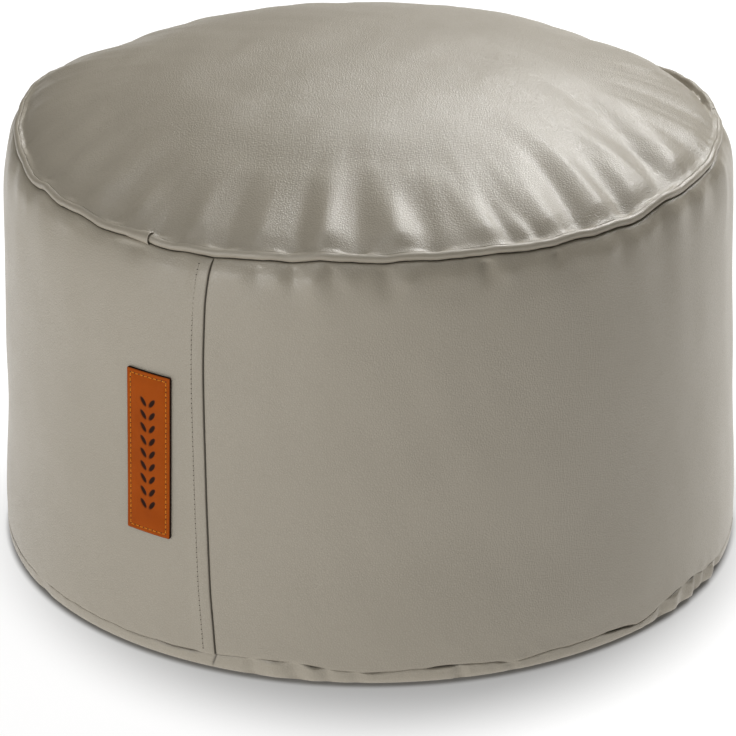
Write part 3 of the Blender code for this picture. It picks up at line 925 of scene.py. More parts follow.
@dataclass(frozen=True)
class CoverLeather:
    """Greige artificial leather with an embossed pebble, satin to the light."""

    name: str = "cover_leather"
    light: tuple = (0.404, 0.366, 0.300)
    dark: tuple = (0.304, 0.270, 0.212)
    # Painted shade: the dark colour put into seams and under the piping, where shade falls.
    seam_shade_colour: tuple = (0.045, 0.040, 0.032)
    roughness: float = 0.355
    roughness_spread: float = 0.03
    grain_size: float = 1.8
    grain_depth: float = 0.00017
    grain_strength: float = 0.85
    coat: float = 0.13
    coat_roughness: float = 0.27
    shine: float = 0.60
    tone_spread: float = 0.10
    tone_level: float = 0.22
    crease_shade: float = 0.28
    crease_roughness: float = 0.10

    def material(self, shared: SharedEffects) -> bpy.types.Material:
        """Build the material.

        Args:
            shared: The groups that materials share.

        Returns:
            The material, with painted shade in its seams where the mesh's attribute says so.
        """
        material, wire, shader = new_material(self.name)
        grain = wire.add("ShaderNodeGroup", node_tree=shared.grain, values={"Size": self.grain_size})
        handled = wire.add("ShaderNodeGroup", node_tree=shared.handled)
        worn = wire.math("MULTIPLY_ADD", handled.outputs["Tone"], self.tone_spread, self.tone_level)
        # Painted shade in the grain's creases.
        crease = wire.math("MULTIPLY", grain.outputs["Crease"], self.crease_shade)
        share = wire.math("ADD", worn, crease)
        tree = material.node_tree
        # Painted shade in the seams, read from the mesh's attribute, darkens the colour here.
        painted_seam_shade = wire.add("ShaderNodeAttribute", attribute_name="painted_seam_shade").outputs["Fac"]
        coloured = wire.blend(painted_seam_shade, wire.blend(share, self.light, self.dark), self.seam_shade_colour)
        tree.links.new(coloured, shader.inputs["Base Color"])
        rough = wire.math("MULTIPLY_ADD", handled.outputs["Gloss"], self.roughness_spread, self.roughness)
        in_creases = wire.math("MULTIPLY", grain.outputs["Crease"], self.crease_roughness)
        rough = wire.math("ADD", rough, in_creases)
        tree.links.new(rough, shader.inputs["Roughness"])
        relief = {"Strength": self.grain_strength, "Distance": self.grain_depth}
        bump = wire.add("ShaderNodeBump", values=relief, links={"Height": grain.outputs["Height"]})
        tree.links.new(bump.outputs["Normal"], shader.inputs["Normal"])
        shader.inputs["Specular IOR Level"].default_value = self.shine
        shader.inputs["Coat Weight"].default_value = self.coat
        shader.inputs["Coat Roughness"].default_value = self.coat_roughness
        return material


@dataclass(frozen=True)
class PatchLeather:
    """Tan leather with a smooth dressed face, its tooling and its cut edge burnished dark."""

    name: str = "patch_leather"
    light: tuple = (0.430, 0.084, 0.002)
    dark: tuple = (0.270, 0.046, 0.001)
    burnt: tuple = (0.012, 0.006, 0.004)
    roughness: float = 0.62
    grain_size: float = 0.7
    grain_depth: float = 0.00005
    grain_strength: float = 0.5
    handled_size: float = 0.022
    tone_spread: float = 0.22
    tone_level: float = 0.35
    roughness_spread: float = 0.05
    shine: float = 0.09

    def material(self, shared: SharedEffects) -> bpy.types.Material:
        """Build the material.

        Args:
            shared: The groups that materials share.

        Returns:
            The material, dark where the mesh's attribute says that it is burnt.
        """
        material, wire, shader = new_material(self.name)
        grain = wire.add("ShaderNodeGroup", node_tree=shared.grain, values={"Size": self.grain_size})
        handled = wire.add("ShaderNodeGroup", node_tree=shared.handled, values={"Size": self.handled_size})
        share = wire.math("MULTIPLY_ADD", handled.outputs["Tone"], self.tone_spread, self.tone_level)
        dressed = wire.blend(share, self.light, self.dark)
        burnt = wire.add("ShaderNodeAttribute", attribute_name="burnt")
        tree = material.node_tree
        coloured = wire.blend(burnt.outputs["Fac"], dressed, self.burnt)
        tree.links.new(coloured, shader.inputs["Base Color"])
        rough = wire.math("MULTIPLY_ADD", handled.outputs["Gloss"], self.roughness_spread, self.roughness)
        tree.links.new(rough, shader.inputs["Roughness"])
        relief = {"Strength": self.grain_strength, "Distance": self.grain_depth}
        bump = wire.add("ShaderNodeBump", values=relief, links={"Height": grain.outputs["Height"]})
        tree.links.new(bump.outputs["Normal"], shader.inputs["Normal"])
        shader.inputs["Specular IOR Level"].default_value = self.shine
        return material


@dataclass(frozen=True)
class Thread:
    """Twisted sewing thread."""

    name: str
    light: tuple
    dark: tuple
    roughness: float = 0.62
    twist: float = 0.0007
    ply_scale: float = 0.3
    ply_unevenness: float = 1.5
    ply_depth: float = 0.0001
    ply_strength: float = 0.4
    shine: float = 0.15

    def material(self) -> bpy.types.Material:
        """Build the material: slanting plies that part in darker lines of painted shade."""
        material, wire, shader = new_material(self.name)
        place = wire.add("ShaderNodeTexCoord").outputs["Object"]
        bands = {"Scale": self.ply_scale / self.twist, "Distortion": self.ply_unevenness}
        plies = wire.add("ShaderNodeTexWave", wave_type="BANDS", bands_direction="DIAGONAL", values=bands,
                         links={"Vector": place})
        tree = material.node_tree
        # The darker lines between the plies are painted shade.
        tree.links.new(wire.blend(plies.outputs["Fac"], self.dark, self.light), shader.inputs["Base Color"])
        relief = {"Strength": self.ply_strength, "Distance": self.ply_depth}
        bump = wire.add("ShaderNodeBump", values=relief, links={"Height": plies.outputs["Fac"]})
        tree.links.new(bump.outputs["Normal"], shader.inputs["Normal"])
        shader.inputs["Roughness"].default_value = self.roughness
        shader.inputs["Specular IOR Level"].default_value = self.shine
        return material


@dataclass(frozen=True)
class NeedleHole:
    """Painted shade in a needle's hole."""

    name: str = "needle_hole"
    colour: tuple = (0.035, 0.028, 0.022)
    speck_scale: float = 900.0
    roughness: float = 0.85
    shine: float = 0.10

    def material(self) -> bpy.types.Material:
        """Build the material, a little uneven."""
        material, wire, shader = new_material(self.name)
        place = wire.add("ShaderNodeTexCoord").outputs["Object"]
        # Painted shade of the hole, a little uneven.
        speck = wire.add("ShaderNodeTexNoise", values={"Scale": self.speck_scale}, links={"Vector": place})
        lighter = tuple(2.0 * part for part in self.colour)
        colour = wire.blend(speck.outputs["Fac"], self.colour, lighter)
        material.node_tree.links.new(colour, shader.inputs["Base Color"])
        shader.inputs["Roughness"].default_value = self.roughness
        shader.inputs["Specular IOR Level"].default_value = self.shine
        return material


COVER = CoverLeather()
STRETCHED = CoverLeather("side_leather", grain_depth=0.00012)
TRIM = CoverLeather("piping_leather", grain_size=1.0, grain_depth=0.00006)
ORANGE_THREAD = Thread("orange_thread", light=(0.84, 0.32, 0.030), dark=(0.48, 0.14, 0.010))
GREIGE_THREAD = Thread("greige_thread", light=(0.375, 0.345, 0.285), dark=(0.31, 0.285, 0.235))
# Painted shade in the side seam's needle holes.
SEAM_HOLE = NeedleHole("seam_needle_hole", (0.050, 0.044, 0.036))


def settle_piece(obj: bpy.types.Object, material: bpy.types.Material, slot: str, *nodes: str) -> None:
    """Dress a piece, make it ride on the stool and stand for its nodes.

    Args:
        obj: The piece.
        material: Its finish.
        slot: The record's material slot, or an empty text, which is not used.
        *nodes: The frame's nodes that it stands for.
    """
    obj.data.materials.clear()
    obj.data.materials.append(material)
    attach(obj, "root")
    if nodes:
        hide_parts(*nodes)
    log.info("%s: %d points, %d faces", obj.name, len(obj.data.vertices), len(obj.data.polygons))


@dataclass
class TopPanel:
    """The round, crowned top, gathered all round into the piped seam."""

    columns: int = 720
    middle_rings: int = 26
    gathered_rings: int = 40
    edge_rings: int = 26
    gathers_from: float = 0.40
    edge_from: float = 0.90
    contact: float = 0.00245
    contact_turn: float = 98.0
    edge_slope: float = 0.70
    front: float = -78.0
    front_spread: float = 62.0
    front_sag: float = 0.0042
    front_reach: float = 0.110
    edge_blend: tuple = (0.93, 1.0)
    under_turns: tuple = (112.0, 132.0, 154.0, 176.0)
    lump_height: float = 0.0007
    dent_share: float = 0.30
    free_from_seam: float = 0.012
    lumps: Ripple = Ripple(3, 0.115)
    dents: Ripple = Ripple(11, 0.042)
    crinkles: Crinkle = Crinkle(21, (70, 150), 0.00042, 0.026)
    filling: Filling = Filling()
    settled_rings: int = 40
    settled_from: float = 0.45
    settled_fade: float = 0.30
    sewn_share: float = 0.035

    def shares(self) -> Array:
        """Return the rings' places as shares of the crown's radius."""
        middle = np.linspace(0.02, self.gathers_from, self.middle_rings, endpoint=False)
        gathered = np.linspace(self.gathers_from, self.edge_from, self.gathered_rings, endpoint=False)
        edge = np.linspace(0.0, 1.0, self.edge_rings) ** 0.85
        return np.concatenate((middle, gathered, self.edge_from + (1.0 - self.edge_from) * edge))

    def surface(self, share: Array, angle: Array) -> Array:
        """Return points of the crown.

        Args:
            share: Shares of its radius, of shape (rings, 1).
            angle: Angles in degrees, of shape (columns,).

        Returns:
            Points of shape (rings, columns, 3).
        """
        turn = math.radians(self.contact_turn)
        rim = FORM.seam_radius + self.contact * math.cos(turn)
        radius = share * rim
        distance = rim - radius
        lift_share = ease((share - FORM.crown_calm) / (1.0 - FORM.crown_calm))
        edge = self.contact * math.sin(turn) + self.edge_slope * distance
        near_edge = ease((share - self.edge_blend[0]) / (self.edge_blend[1] - self.edge_blend[0]))
        height = FORM.crown(radius) * (1.0 - near_edge) + edge * near_edge
        height = FORM.seam_height + height + FORM.seam_lift(angle) * lift_share
        height = height + FORM.gathered(Side.TOP, angle, distance, radius)
        height = height + self.crinkles.at(angle, distance) - self.sagged(angle, distance)
        points = polar(angle, radius + FORM.seam_draw(angle) * lift_share, height, FORM.seam_shift)
        free = ease(distance / self.free_from_seam)
        uneven = self.lump_height * self.lumps.at(points)
        uneven = uneven + self.dent_share * self.lump_height * self.dents.at(points)
        points[..., 2] += uneven * free
        return points

    def sagged(self, angle: Array, distance: Array) -> Array:
        """Return how far the crown's front, which is the most sat upon, lies below its mean form.

        Args:
            angle: Angles in degrees.
            distance: Distances from the seam in metres.

        Returns:
            The sag in metres.
        """
        share = np.clip(distance / self.front_reach, 0.0, 1.0)
        along = SAG_TO_ONE * share * (1.0 - share) ** 2
        return self.front_sag * along * dip(turn_between(angle, self.front), self.front_spread)

    def puckers(self) -> Puckers:
        """Settle the crown over its filling."""
        share = np.linspace(self.settled_from, 1.0, self.settled_rings)
        rings = self.surface(share[:, None], self.filling.angles())
        return self.filling.settle("top_panel_cloth", share, rings)

    def build(self) -> bpy.types.Object:
        """Build the panel: its crown, the turn under the piping and the face along the seam."""
        angle = np.arange(self.columns) * 360.0 / self.columns
        share = self.shares()[:, None]
        crown = self.surface(share, angle)
        sewn = ease((1.0 - share) / self.sewn_share)
        settled = ease((share - self.settled_from) / self.settled_fade) * sewn * np.ones(self.columns)
        crown = self.puckers().moved(crown, share, angle, settled)
        core = FORM.seam_height - FORM.core_drop + FORM.parting
        under = [FORM.turned(angle, degrees, self.contact) for degrees in self.under_turns]
        under.append(polar(angle, FORM.core_radius, core, FORM.seam_shift))
        rings = np.concatenate((crown, np.array(under)))
        middle = (FORM.seam_shift, 0.0, float(crown[0, :, 2].mean()))
        return lofted("top_panel_leather", rings, middle, (FORM.seam_shift, 0.0, core))


@dataclass(frozen=True)
class LeatherPatch:
    """The tan leather patch, sewn to the side round its border, with a plain tooled chain down its middle."""

    width: float = 0.0343
    height: float = 0.1135
    thickness: float = 0.0018
    angle: float = -123.95
    middle: float = 0.1455
    lean: float = 0.85
    cell: float = 0.0005
    corner: float = 0.0012
    edge_drop: float = 0.45 * MM
    edge_width: float = 0.8 * MM
    edge_burn: float = 0.55 * MM
    sharp_angle: float = 60.0
    middle_puff: float = 0.25 * MM
    puff_reach: float = 5.0 * MM
    stitch_inset: float = 0.0030
    stitch_pitch: float = 0.0036
    stitch_sink: float = 0.25 * MM
    border_draw: float = 0.30 * MM
    clearance: float = 0.0003
    tool_pairs: int = 9
    tool_pitch: float = 0.0090
    tool_spread: float = 0.0034
    tool_length: float = 0.0080
    tool_width: float = 0.0034
    tool_slant: float = 36.0
    tool_depth: float = 0.00035
    tool_burn: float = 0.97

    def frame_at(self, across: Array, up: Array) -> tuple:
        """Return points of the wall under the patch and their outward directions.

        Args:
            across: Places across the patch in metres, to the right.
            up: Places up the patch in metres.

        Returns:
            Points and unit normals, each of shape (..., 3).
        """
        lean = math.radians(self.lean)
        height = self.middle + up * math.cos(lean) - across * math.sin(lean)
        inner = FORM.wall_radius(height) + self.clearance
        angle = self.angle + np.degrees((across + up * math.sin(lean)) / inner)
        shift = FORM.seam_shift * ease(height / FORM.seam_height)
        return polar(angle, inner, height, shift), polar(angle, 1.0, 0.0, 0.0)

    def tooling(self, across: Array, up: Array) -> Array:
        """Return how deep the plain tooled chain of slanting leaves in pairs is cut.

        Args:
            across: Places across the patch in metres.
            up: Places up the patch in metres.

        Returns:
            Shares from 0, uncut, to 1.
        """
        depth = np.zeros(np.broadcast(across, up).shape)
        first = -0.5 * self.tool_pitch * (self.tool_pairs - 1)
        for i in range(self.tool_pairs):
            for side in (-1.0, 1.0):
                x = across - side * self.tool_spread
                y = up - first - i * self.tool_pitch
                slant = math.radians(90.0 - side * self.tool_slant)
                along = x * math.cos(slant) + y * math.sin(slant)
                over = -x * math.sin(slant) + y * math.cos(slant)
                leaf = np.hypot(along / (0.5 * self.tool_length), over / (0.5 * self.tool_width))
                depth = np.maximum(depth, 1.0 - ease((leaf - 0.72) / 0.38))
        return depth

    def build(self) -> bpy.types.Object:
        """Build the patch: a dressed face with its tooling, a cut edge and a back."""
        columns = round(self.width / self.cell)
        rows = round(self.height / self.cell)
        x = np.linspace(-0.5, 0.5, columns + 1)[None, :] * self.width
        y = np.linspace(-0.5, 0.5, rows + 1)[:, None] * self.height
        x, y = np.broadcast_arrays(x, y)
        core_x, core_y = 0.5 * self.width - self.corner, 0.5 * self.height - self.corner
        over_x, over_y = np.clip(np.abs(x) - core_x, 0.0, None), np.clip(np.abs(y) - core_y, 0.0, None)
        both = (over_x > 0.0) & (over_y > 0.0)
        scale = np.where(both, np.maximum(over_x, over_y) / np.maximum(np.hypot(over_x, over_y), 1e-9), 1.0)
        x = np.sign(x) * (np.abs(x) - over_x + over_x * scale)
        y = np.sign(y) * (np.abs(y) - over_y + over_y * scale)
        inset = np.minimum(0.5 * self.width - np.abs(x), 0.5 * self.height - np.abs(y))
        tooled = self.tooling(x, y)
        height = self.thickness - self.edge_drop * (1.0 - ease(inset / self.edge_width))
        height = height - self.border_draw * dip(inset - self.stitch_inset, self.edge_width)
        height = height - self.tool_depth * tooled
        height = height + self.middle_puff * ease((inset - self.stitch_inset) / self.puff_reach)
        base, out = self.frame_at(x, y)
        front = base + out * height[..., None]
        count = (rows + 1) * (columns + 1)
        here = np.arange(count).reshape(rows + 1, columns + 1)
        quads = np.stack((here[:-1, :-1], here[:-1, 1:], here[1:, 1:], here[1:, :-1]), axis=-1).reshape(-1, 4)
        ring = np.concatenate((here[0, :-1], here[:-1, -1], here[-1, :0:-1], here[:0:-1, 0]))
        after = np.roll(ring, -1)
        sides = np.stack((ring, ring + count, after + count, after), axis=-1)
        faces = np.concatenate((quads, quads[:, ::-1] + count, sides))
        points = np.concatenate((front.reshape(-1, 3), base.reshape(-1, 3)))
        obj = made("leather_patch", points, faces.tolist())
        obj.data.set_sharp_from_angle(angle=math.radians(self.sharp_angle))
        burnt = np.maximum(self.tool_burn * tooled, 1.0 - ease(inset / self.edge_burn))
        mark(obj, "burnt", np.concatenate((burnt.ravel(), np.ones(count))))
        return obj

    def stitch_path(self) -> tuple:
        """Return the stitches' ends round the border.

        Returns:
            Points along the line and their outward directions, each of shape (stitches + 1, 3).
        """
        half_x, half_y = 0.5 * self.width - self.stitch_inset, 0.5 * self.height - self.stitch_inset
        corners = ((-half_x, -half_y), (half_x, -half_y), (half_x, half_y), (-half_x, half_y))
        x, y = [], []
        for (x0, y0), (x1, y1) in zip(corners, corners[1:] + corners[:1]):
            count = round(math.hypot(x1 - x0, y1 - y0) / self.stitch_pitch)
            share = np.arange(count) / count
            x.append(x0 + (x1 - x0) * share)
            y.append(y0 + (y1 - y0) * share)
        x, y = np.concatenate(x + [[-half_x]]), np.concatenate(y + [[-half_y]])
        base, out = self.frame_at(x, y)
        return base + out * (self.thickness - self.stitch_sink), out


@dataclass
class SidePanel:
    """The long side panel, gathered under the piping, whose left end laps over its right one."""

    columns: int = 720
    lap_height: float = 0.00105
    lap_round: float = 0.0009
    lap_puff: float = 0.22 * MM
    lap_puff_start: float = 0.5 * MM
    stitch_line: float = 0.0078
    stitch_draw: float = 0.03 * MM
    stitch_draw_width: float = 0.8 * MM
    lap_press: float = 0.25 * MM
    lap_press_reach: float = 4.0 * MM
    lap_gap: float = 1.50 * MM
    lap_gap_width: float = 0.40 * MM
    # Painted shade along the lap's edge: its strength, place and width.
    lap_shade: float = 0.85
    lap_shade_place: float = 0.08 * MM
    lap_shade_width: float = 0.26 * MM
    lap_fade: float = 0.016
    lump_height: float = 0.0006
    dent_share: float = 0.22
    contact: float = 0.0029
    lap_start: float = 1.0 * MM
    lap_rise: float = 3.0 * MM
    free_from_seam: float = 0.020
    foot_parting: float = 0.4 * MM
    lumps: Ripple = Ripple(4, 0.150)
    dents: Ripple = Ripple(12, 0.045)
    crinkles: Crinkle = Crinkle(22, (110, 230), 0.00020, 0.016)
    foot_crinkles: Crinkle = Crinkle(23, (60, 140), 0.00022, 0.026)
    filling: Filling = Filling(pressure=2.0, cap=0.0006)
    settled_rings: int = 56
    settled_reach: float = 0.070
    sewn_reach: float = 0.006
    patch: LeatherPatch = LeatherPatch()
    patch_room: float = 0.010
    seam_freedom: float = 0.25
    seam_bend: float = 30.0
    topstitch_pitch: float = 0.0034
    over_turns: tuple = (184.0, 215.0, 245.0, 270.0, 284.0)

    def seam_offsets(self) -> Array:
        """Return where columns are needed near the side seam, in metres from its edge, left below zero."""
        stitches = self.stitch_line
        left = [-stitches + step * MM for step in (-2.6, -1.9, -1.3, -0.8, -0.4, 0.0, 0.4, 0.8, 1.3, 1.9)]
        between = [-value * MM for value in (5.6, 4.6, 3.6, 2.7, 1.9, 1.3)]
        edge = [-value * MM for value in (0.95, 0.75, 0.55, 0.38, 0.24, 0.13, 0.05, 0.0)]
        right = [value * MM for value in (0.04, 0.20, 0.45, 0.8, 1.3, 1.9, 2.6)]
        return np.array(left + between + edge + right)

    def angles(self) -> Array:
        """Return the columns' angles, close together at the side seam."""
        offsets = np.degrees(self.seam_offsets() / float(FORM.wall_radius(np.array(FORM.home_height))))
        return crowded_angles(self.columns, FORM.seam_home(), offsets)

    def heights(self) -> Array:
        """Return the rows' heights from the piping down, closer where the leather is gathered."""
        lip = np.array([0.2880, 0.2879, 0.2877, 0.2873, 0.2867, 0.2859, 0.2849, 0.2837])
        gathered = np.linspace(0.2822, 0.2350, 34)
        plain = np.linspace(0.2300, 0.0420, 44)
        foot = np.linspace(0.0390, 0.0180, 13)
        roll = np.array([0.0168, 0.0156, 0.0146, 0.0138, 0.0131, 0.0126, 0.01203])
        return np.concatenate((lip, gathered, plain, foot, roll))

    def lap(self, across: Array) -> Array:
        """Return how far the lapped seam stands out.

        Args:
            across: Distances in metres from its edge, left of it below zero.

        Returns:
            The relief in metres.
        """
        inside = np.clip(-across, 0.0, None)
        rounding = np.clip(1.0 - inside / self.lap_round, 0.0, 1.0)
        over = self.lap_height * np.sqrt(1.0 - rounding**2) * np.where(across < 0.0, 1.0, 0.0)
        hump = (inside - self.lap_puff_start) / (self.stitch_line - self.lap_puff_start)
        puff = self.lap_puff * np.sin(np.pi * np.clip(hump, 0.0, 1.0))
        drawn = -self.stitch_draw * dip(across + self.stitch_line, self.stitch_draw_width)
        fade = 1.0 - ease((inside - self.stitch_line) / (self.lap_fade - self.stitch_line))
        pressed = -self.lap_press * (1.0 - ease(across / self.lap_press_reach))
        pressed = pressed - self.lap_gap * dip(across, self.lap_gap_width)
        pressed = np.where(across >= 0.0, pressed, 0.0)
        return over * fade + puff + drawn + pressed

    def beside_seam(self, height: Array, angle: Array) -> tuple:
        """Let the columns follow the side seam.

        Args:
            height: Heights on the mean profile, of shape (rows, 1).
            angle: Angles in degrees, of shape (columns,).

        Returns:
            The angles at those heights, and the distances in metres from the seam's edge.
        """
        home = FORM.seam_home()
        seam = FORM.side_seam(height)
        bent = angle + (seam - home) * (1.0 - ease(np.abs(turn_between(angle, home)) / self.seam_bend))
        return bent, np.radians(turn_between(bent, seam)) * FORM.wall_radius(height)

    def seam_shade_share(self, height: Array, angle: Array) -> Array:
        """Return how much painted shade the seams get, beside the lap's edge and at the foot.

        Args:
            height: Heights on the mean profile, of shape (rows, 1).
            angle: Angles in degrees, of shape (columns,).

        Returns:
            Shares from 0, unshaded, to 1.
        """
        bent, across = self.beside_seam(height, angle)
        lap_edge = self.lap_shade * dip(across - self.lap_shade_place, self.lap_shade_width)
        foot = dip(height - FORM.base_seam_height, FORM.base_roll)
        return np.maximum(lap_edge, FORM.foot_shade * (FORM.base_opening(bent) / FORM.base_groove * foot))

    def surface(self, height: Array, angle: Array) -> Array:
        """Return points of the side.

        Args:
            height: Heights on the mean profile, of shape (rows, 1).
            angle: Angles in degrees, of shape (columns,).

        Returns:
            Points of shape (rows, columns, 3).
        """
        bent, across = self.beside_seam(height, angle)
        mean = FORM.wall_radius(height)
        distance = FORM.seam_height - self.contact - height
        radius = mean + FORM.gathered(Side.WALL, bent, distance, mean)
        radius = radius + self.crinkles.at(bent, distance)
        radius = radius + self.foot_crinkles.at(bent, height - FORM.base_seam_height)
        radius = radius + self.lap(across) * ease((distance + self.lap_start) / self.lap_rise)
        radius = radius + FORM.seam_draw(bent) * FORM.top_share(height) ** 2
        radius = radius - FORM.base_opening(bent) * dip(height - FORM.base_seam_height, FORM.base_roll)
        lift = FORM.seam_lift(bent) * FORM.top_share(height) + FORM.base_lift(bent) * FORM.base_share(height)
        shift = FORM.seam_shift * ease(height / FORM.seam_height)
        points = polar(bent, radius, height + lift, shift)
        free = ease(distance / self.free_from_seam)
        free = free * ease((height - FORM.base_seam_height) / self.free_from_seam)
        uneven = self.lump_height * self.lumps.at(points)
        uneven = uneven + self.dent_share * self.lump_height * self.dents.at(points)
        outward = polar(bent, 1.0, 0.0, 0.0)
        return points + outward * (uneven * free * self.calm(height, bent))[..., None]

    def calm(self, height: Array, angle: Array) -> Array:
        """Return where the side is free to be uneven: less at the side seam, and not under the patch.

        Args:
            height: Heights on the mean profile, of shape (rows, 1).
            angle: Angles in degrees.

        Returns:
            Shares from 0, held flat, to 1, free.
        """
        mean = FORM.wall_radius(height)
        across = np.abs(np.radians(turn_between(angle, self.patch.angle))) * mean - 0.5 * self.patch.width
        along = np.abs(height - self.patch.middle) - 0.5 * self.patch.height
        beside = ease(np.maximum(across, along) / self.patch_room)
        seam = np.abs(np.radians(turn_between(angle, FORM.side_seam(height))) * mean + 0.5 * self.stitch_line)
        free = ease((seam - 0.5 * self.stitch_line) / self.lap_fade)
        return beside * (self.seam_freedom + (1.0 - self.seam_freedom) * free)

    def puckers(self) -> Puckers:
        """Settle the side over its filling."""
        top, foot = float(self.heights()[0]), float(self.heights()[-1])
        height = np.linspace(top, foot, self.settled_rings)
        rings = self.surface(height[:, None], self.filling.angles())
        return self.filling.settle("side_panel_cloth", top - height, rings)

    def build(self) -> bpy.types.Object:
        """Build the panel: its outer face, the lip under the piping and the faces along both seams."""
        angle = self.angles()
        height = self.heights()[:, None]
        wall = self.surface(height, angle)
        below = float(self.heights()[0]) - height
        settled = self.calm(height, angle) * (1.0 - ease(below / self.settled_reach))
        settled = settled * ease(below / self.sewn_reach)
        wall = self.puckers().moved(wall, below, angle, settled)
        core = FORM.seam_height - FORM.core_drop - FORM.parting
        foot_core = FORM.base_seam_height - FORM.core_drop + FORM.parting
        over = [polar(angle, FORM.core_radius, core, FORM.seam_shift)]
        over += [FORM.turned(angle, degrees, self.contact) for degrees in self.over_turns]
        foot_height = FORM.base_seam_height + self.foot_parting + FORM.base_lift(angle)
        foot = [
            polar(angle, FORM.base_seam_radius, foot_height, 0.0),
            polar(angle, FORM.core_radius, foot_core, 0.0),
        ]
        rings = np.concatenate((np.array(over), wall, np.array(foot)))
        top, bottom = (FORM.seam_shift, 0.0, core), (0.0, 0.0, foot_core)
        panel = lofted("side_panel_leather", rings, top, bottom)
        # Painted shade: in full on the rings under the piping and at the foot, and along the seams on the face.
        painted_seam_shade = np.ones(rings.shape[:2])
        painted_seam_shade[len(over):len(over) + len(wall)] = self.seam_shade_share(height, angle)
        mark(panel, "painted_seam_shade", np.append(painted_seam_shade.ravel(), [1.0, 1.0]))
        return panel


@dataclass
class BasePanel:
    """The round base, flat on the floor, its pleated edge turned up to the side."""

    columns: int = 720
    crinkles: Crinkle = Crinkle(24, (90, 200), 0.00030, 0.030)
    crinkle_start: float = 0.003
    tuck: float = 1.5 * MM
    tuck_height: float = 0.0115
    under_radii: tuple = (0.250, 0.22, 0.12)
    notch_depth: float = 0.0012
    notch_width: float = 0.0006
    notch_slant: float = -1.1

    def heights(self) -> Array:
        """Return the rows' heights from the seam down, closer at the seam and at the floor."""
        return np.array([0.01197, 0.0116, 0.0111, 0.0105, 0.0096, 0.0084, 0.0070, 0.0056, 0.0042, 0.0029,
                         0.0018, 0.0010, 0.0005, 0.0002, 0.0000])

    def build(self) -> bpy.types.Object:
        """Build the panel: the face along its seam, the turned-up edge and the flat underside."""
        seam = float(FORM.side_seam(np.array(0.0)))
        angle = crowded_angles(self.columns, seam, np.linspace(-1.2, 0.7, 20))
        heights = self.heights()[:, None]
        below_seam = FORM.base_seam_height - heights
        mean = SmoothCurve(BAND_PROFILE).at(heights)
        mean = mean - FORM.base_opening(angle) * dip(below_seam, FORM.base_roll)
        span = ease(heights / (3.0 * MM)) * (0.4 + 0.6 * ease(below_seam / (2.0 * MM)))
        relief = np.zeros((len(heights), len(angle)))
        for row in BAND_PLEATS:
            across = np.radians(turn_between(angle, row.angle)) * mean / (row.width * MM)
            relief = relief + row.height * MM * np.exp(-across * across)
        relief = relief + self.crinkles.at(angle, below_seam + self.crinkle_start)
        below = 1.0 - heights / FORM.base_seam_height
        across = np.radians(turn_between(angle, seam + self.notch_slant * below)) * mean
        notch = dip(across, self.notch_width) * ease((heights - 2.5 * MM) / (3.0 * MM))
        relief = relief - self.notch_depth * notch
        lift = FORM.base_lift(angle) * ease(heights / FORM.base_seam_height)
        band = polar(angle, mean + relief * span, heights + lift, 0.0)
        core = FORM.base_seam_height - FORM.core_drop - FORM.parting
        parting = [
            polar(angle, FORM.core_radius, core, 0.0),
            polar(angle, FORM.base_seam_radius - self.tuck, self.tuck_height + FORM.base_lift(angle), 0.0),
        ]
        under = [polar(angle, radius, 0.0, 0.0) for radius in self.under_radii]
        rings = np.concatenate((np.array(parting), band, np.array(under)))
        panel = lofted("base_panel_leather", rings, (0.0, 0.0, core), (0.0, 0.0, 0.0))
        # Painted shade in the base seam's groove and the side seam's notch, and in full on the hidden parting.
        opening = FORM.base_opening(angle) / FORM.base_groove * dip(below_seam, FORM.base_roll)
        painted_seam_shade = np.ones(rings.shape[:2])
        painted_seam_shade[len(parting):len(parting) + len(band)] = FORM.foot_shade * np.maximum(opening, notch)
        painted_seam_shade[len(parting) + len(band):] = 0.0
        mark(panel, "painted_seam_shade", np.append(painted_seam_shade.ravel(), [1.0, 0.0]))
        return panel


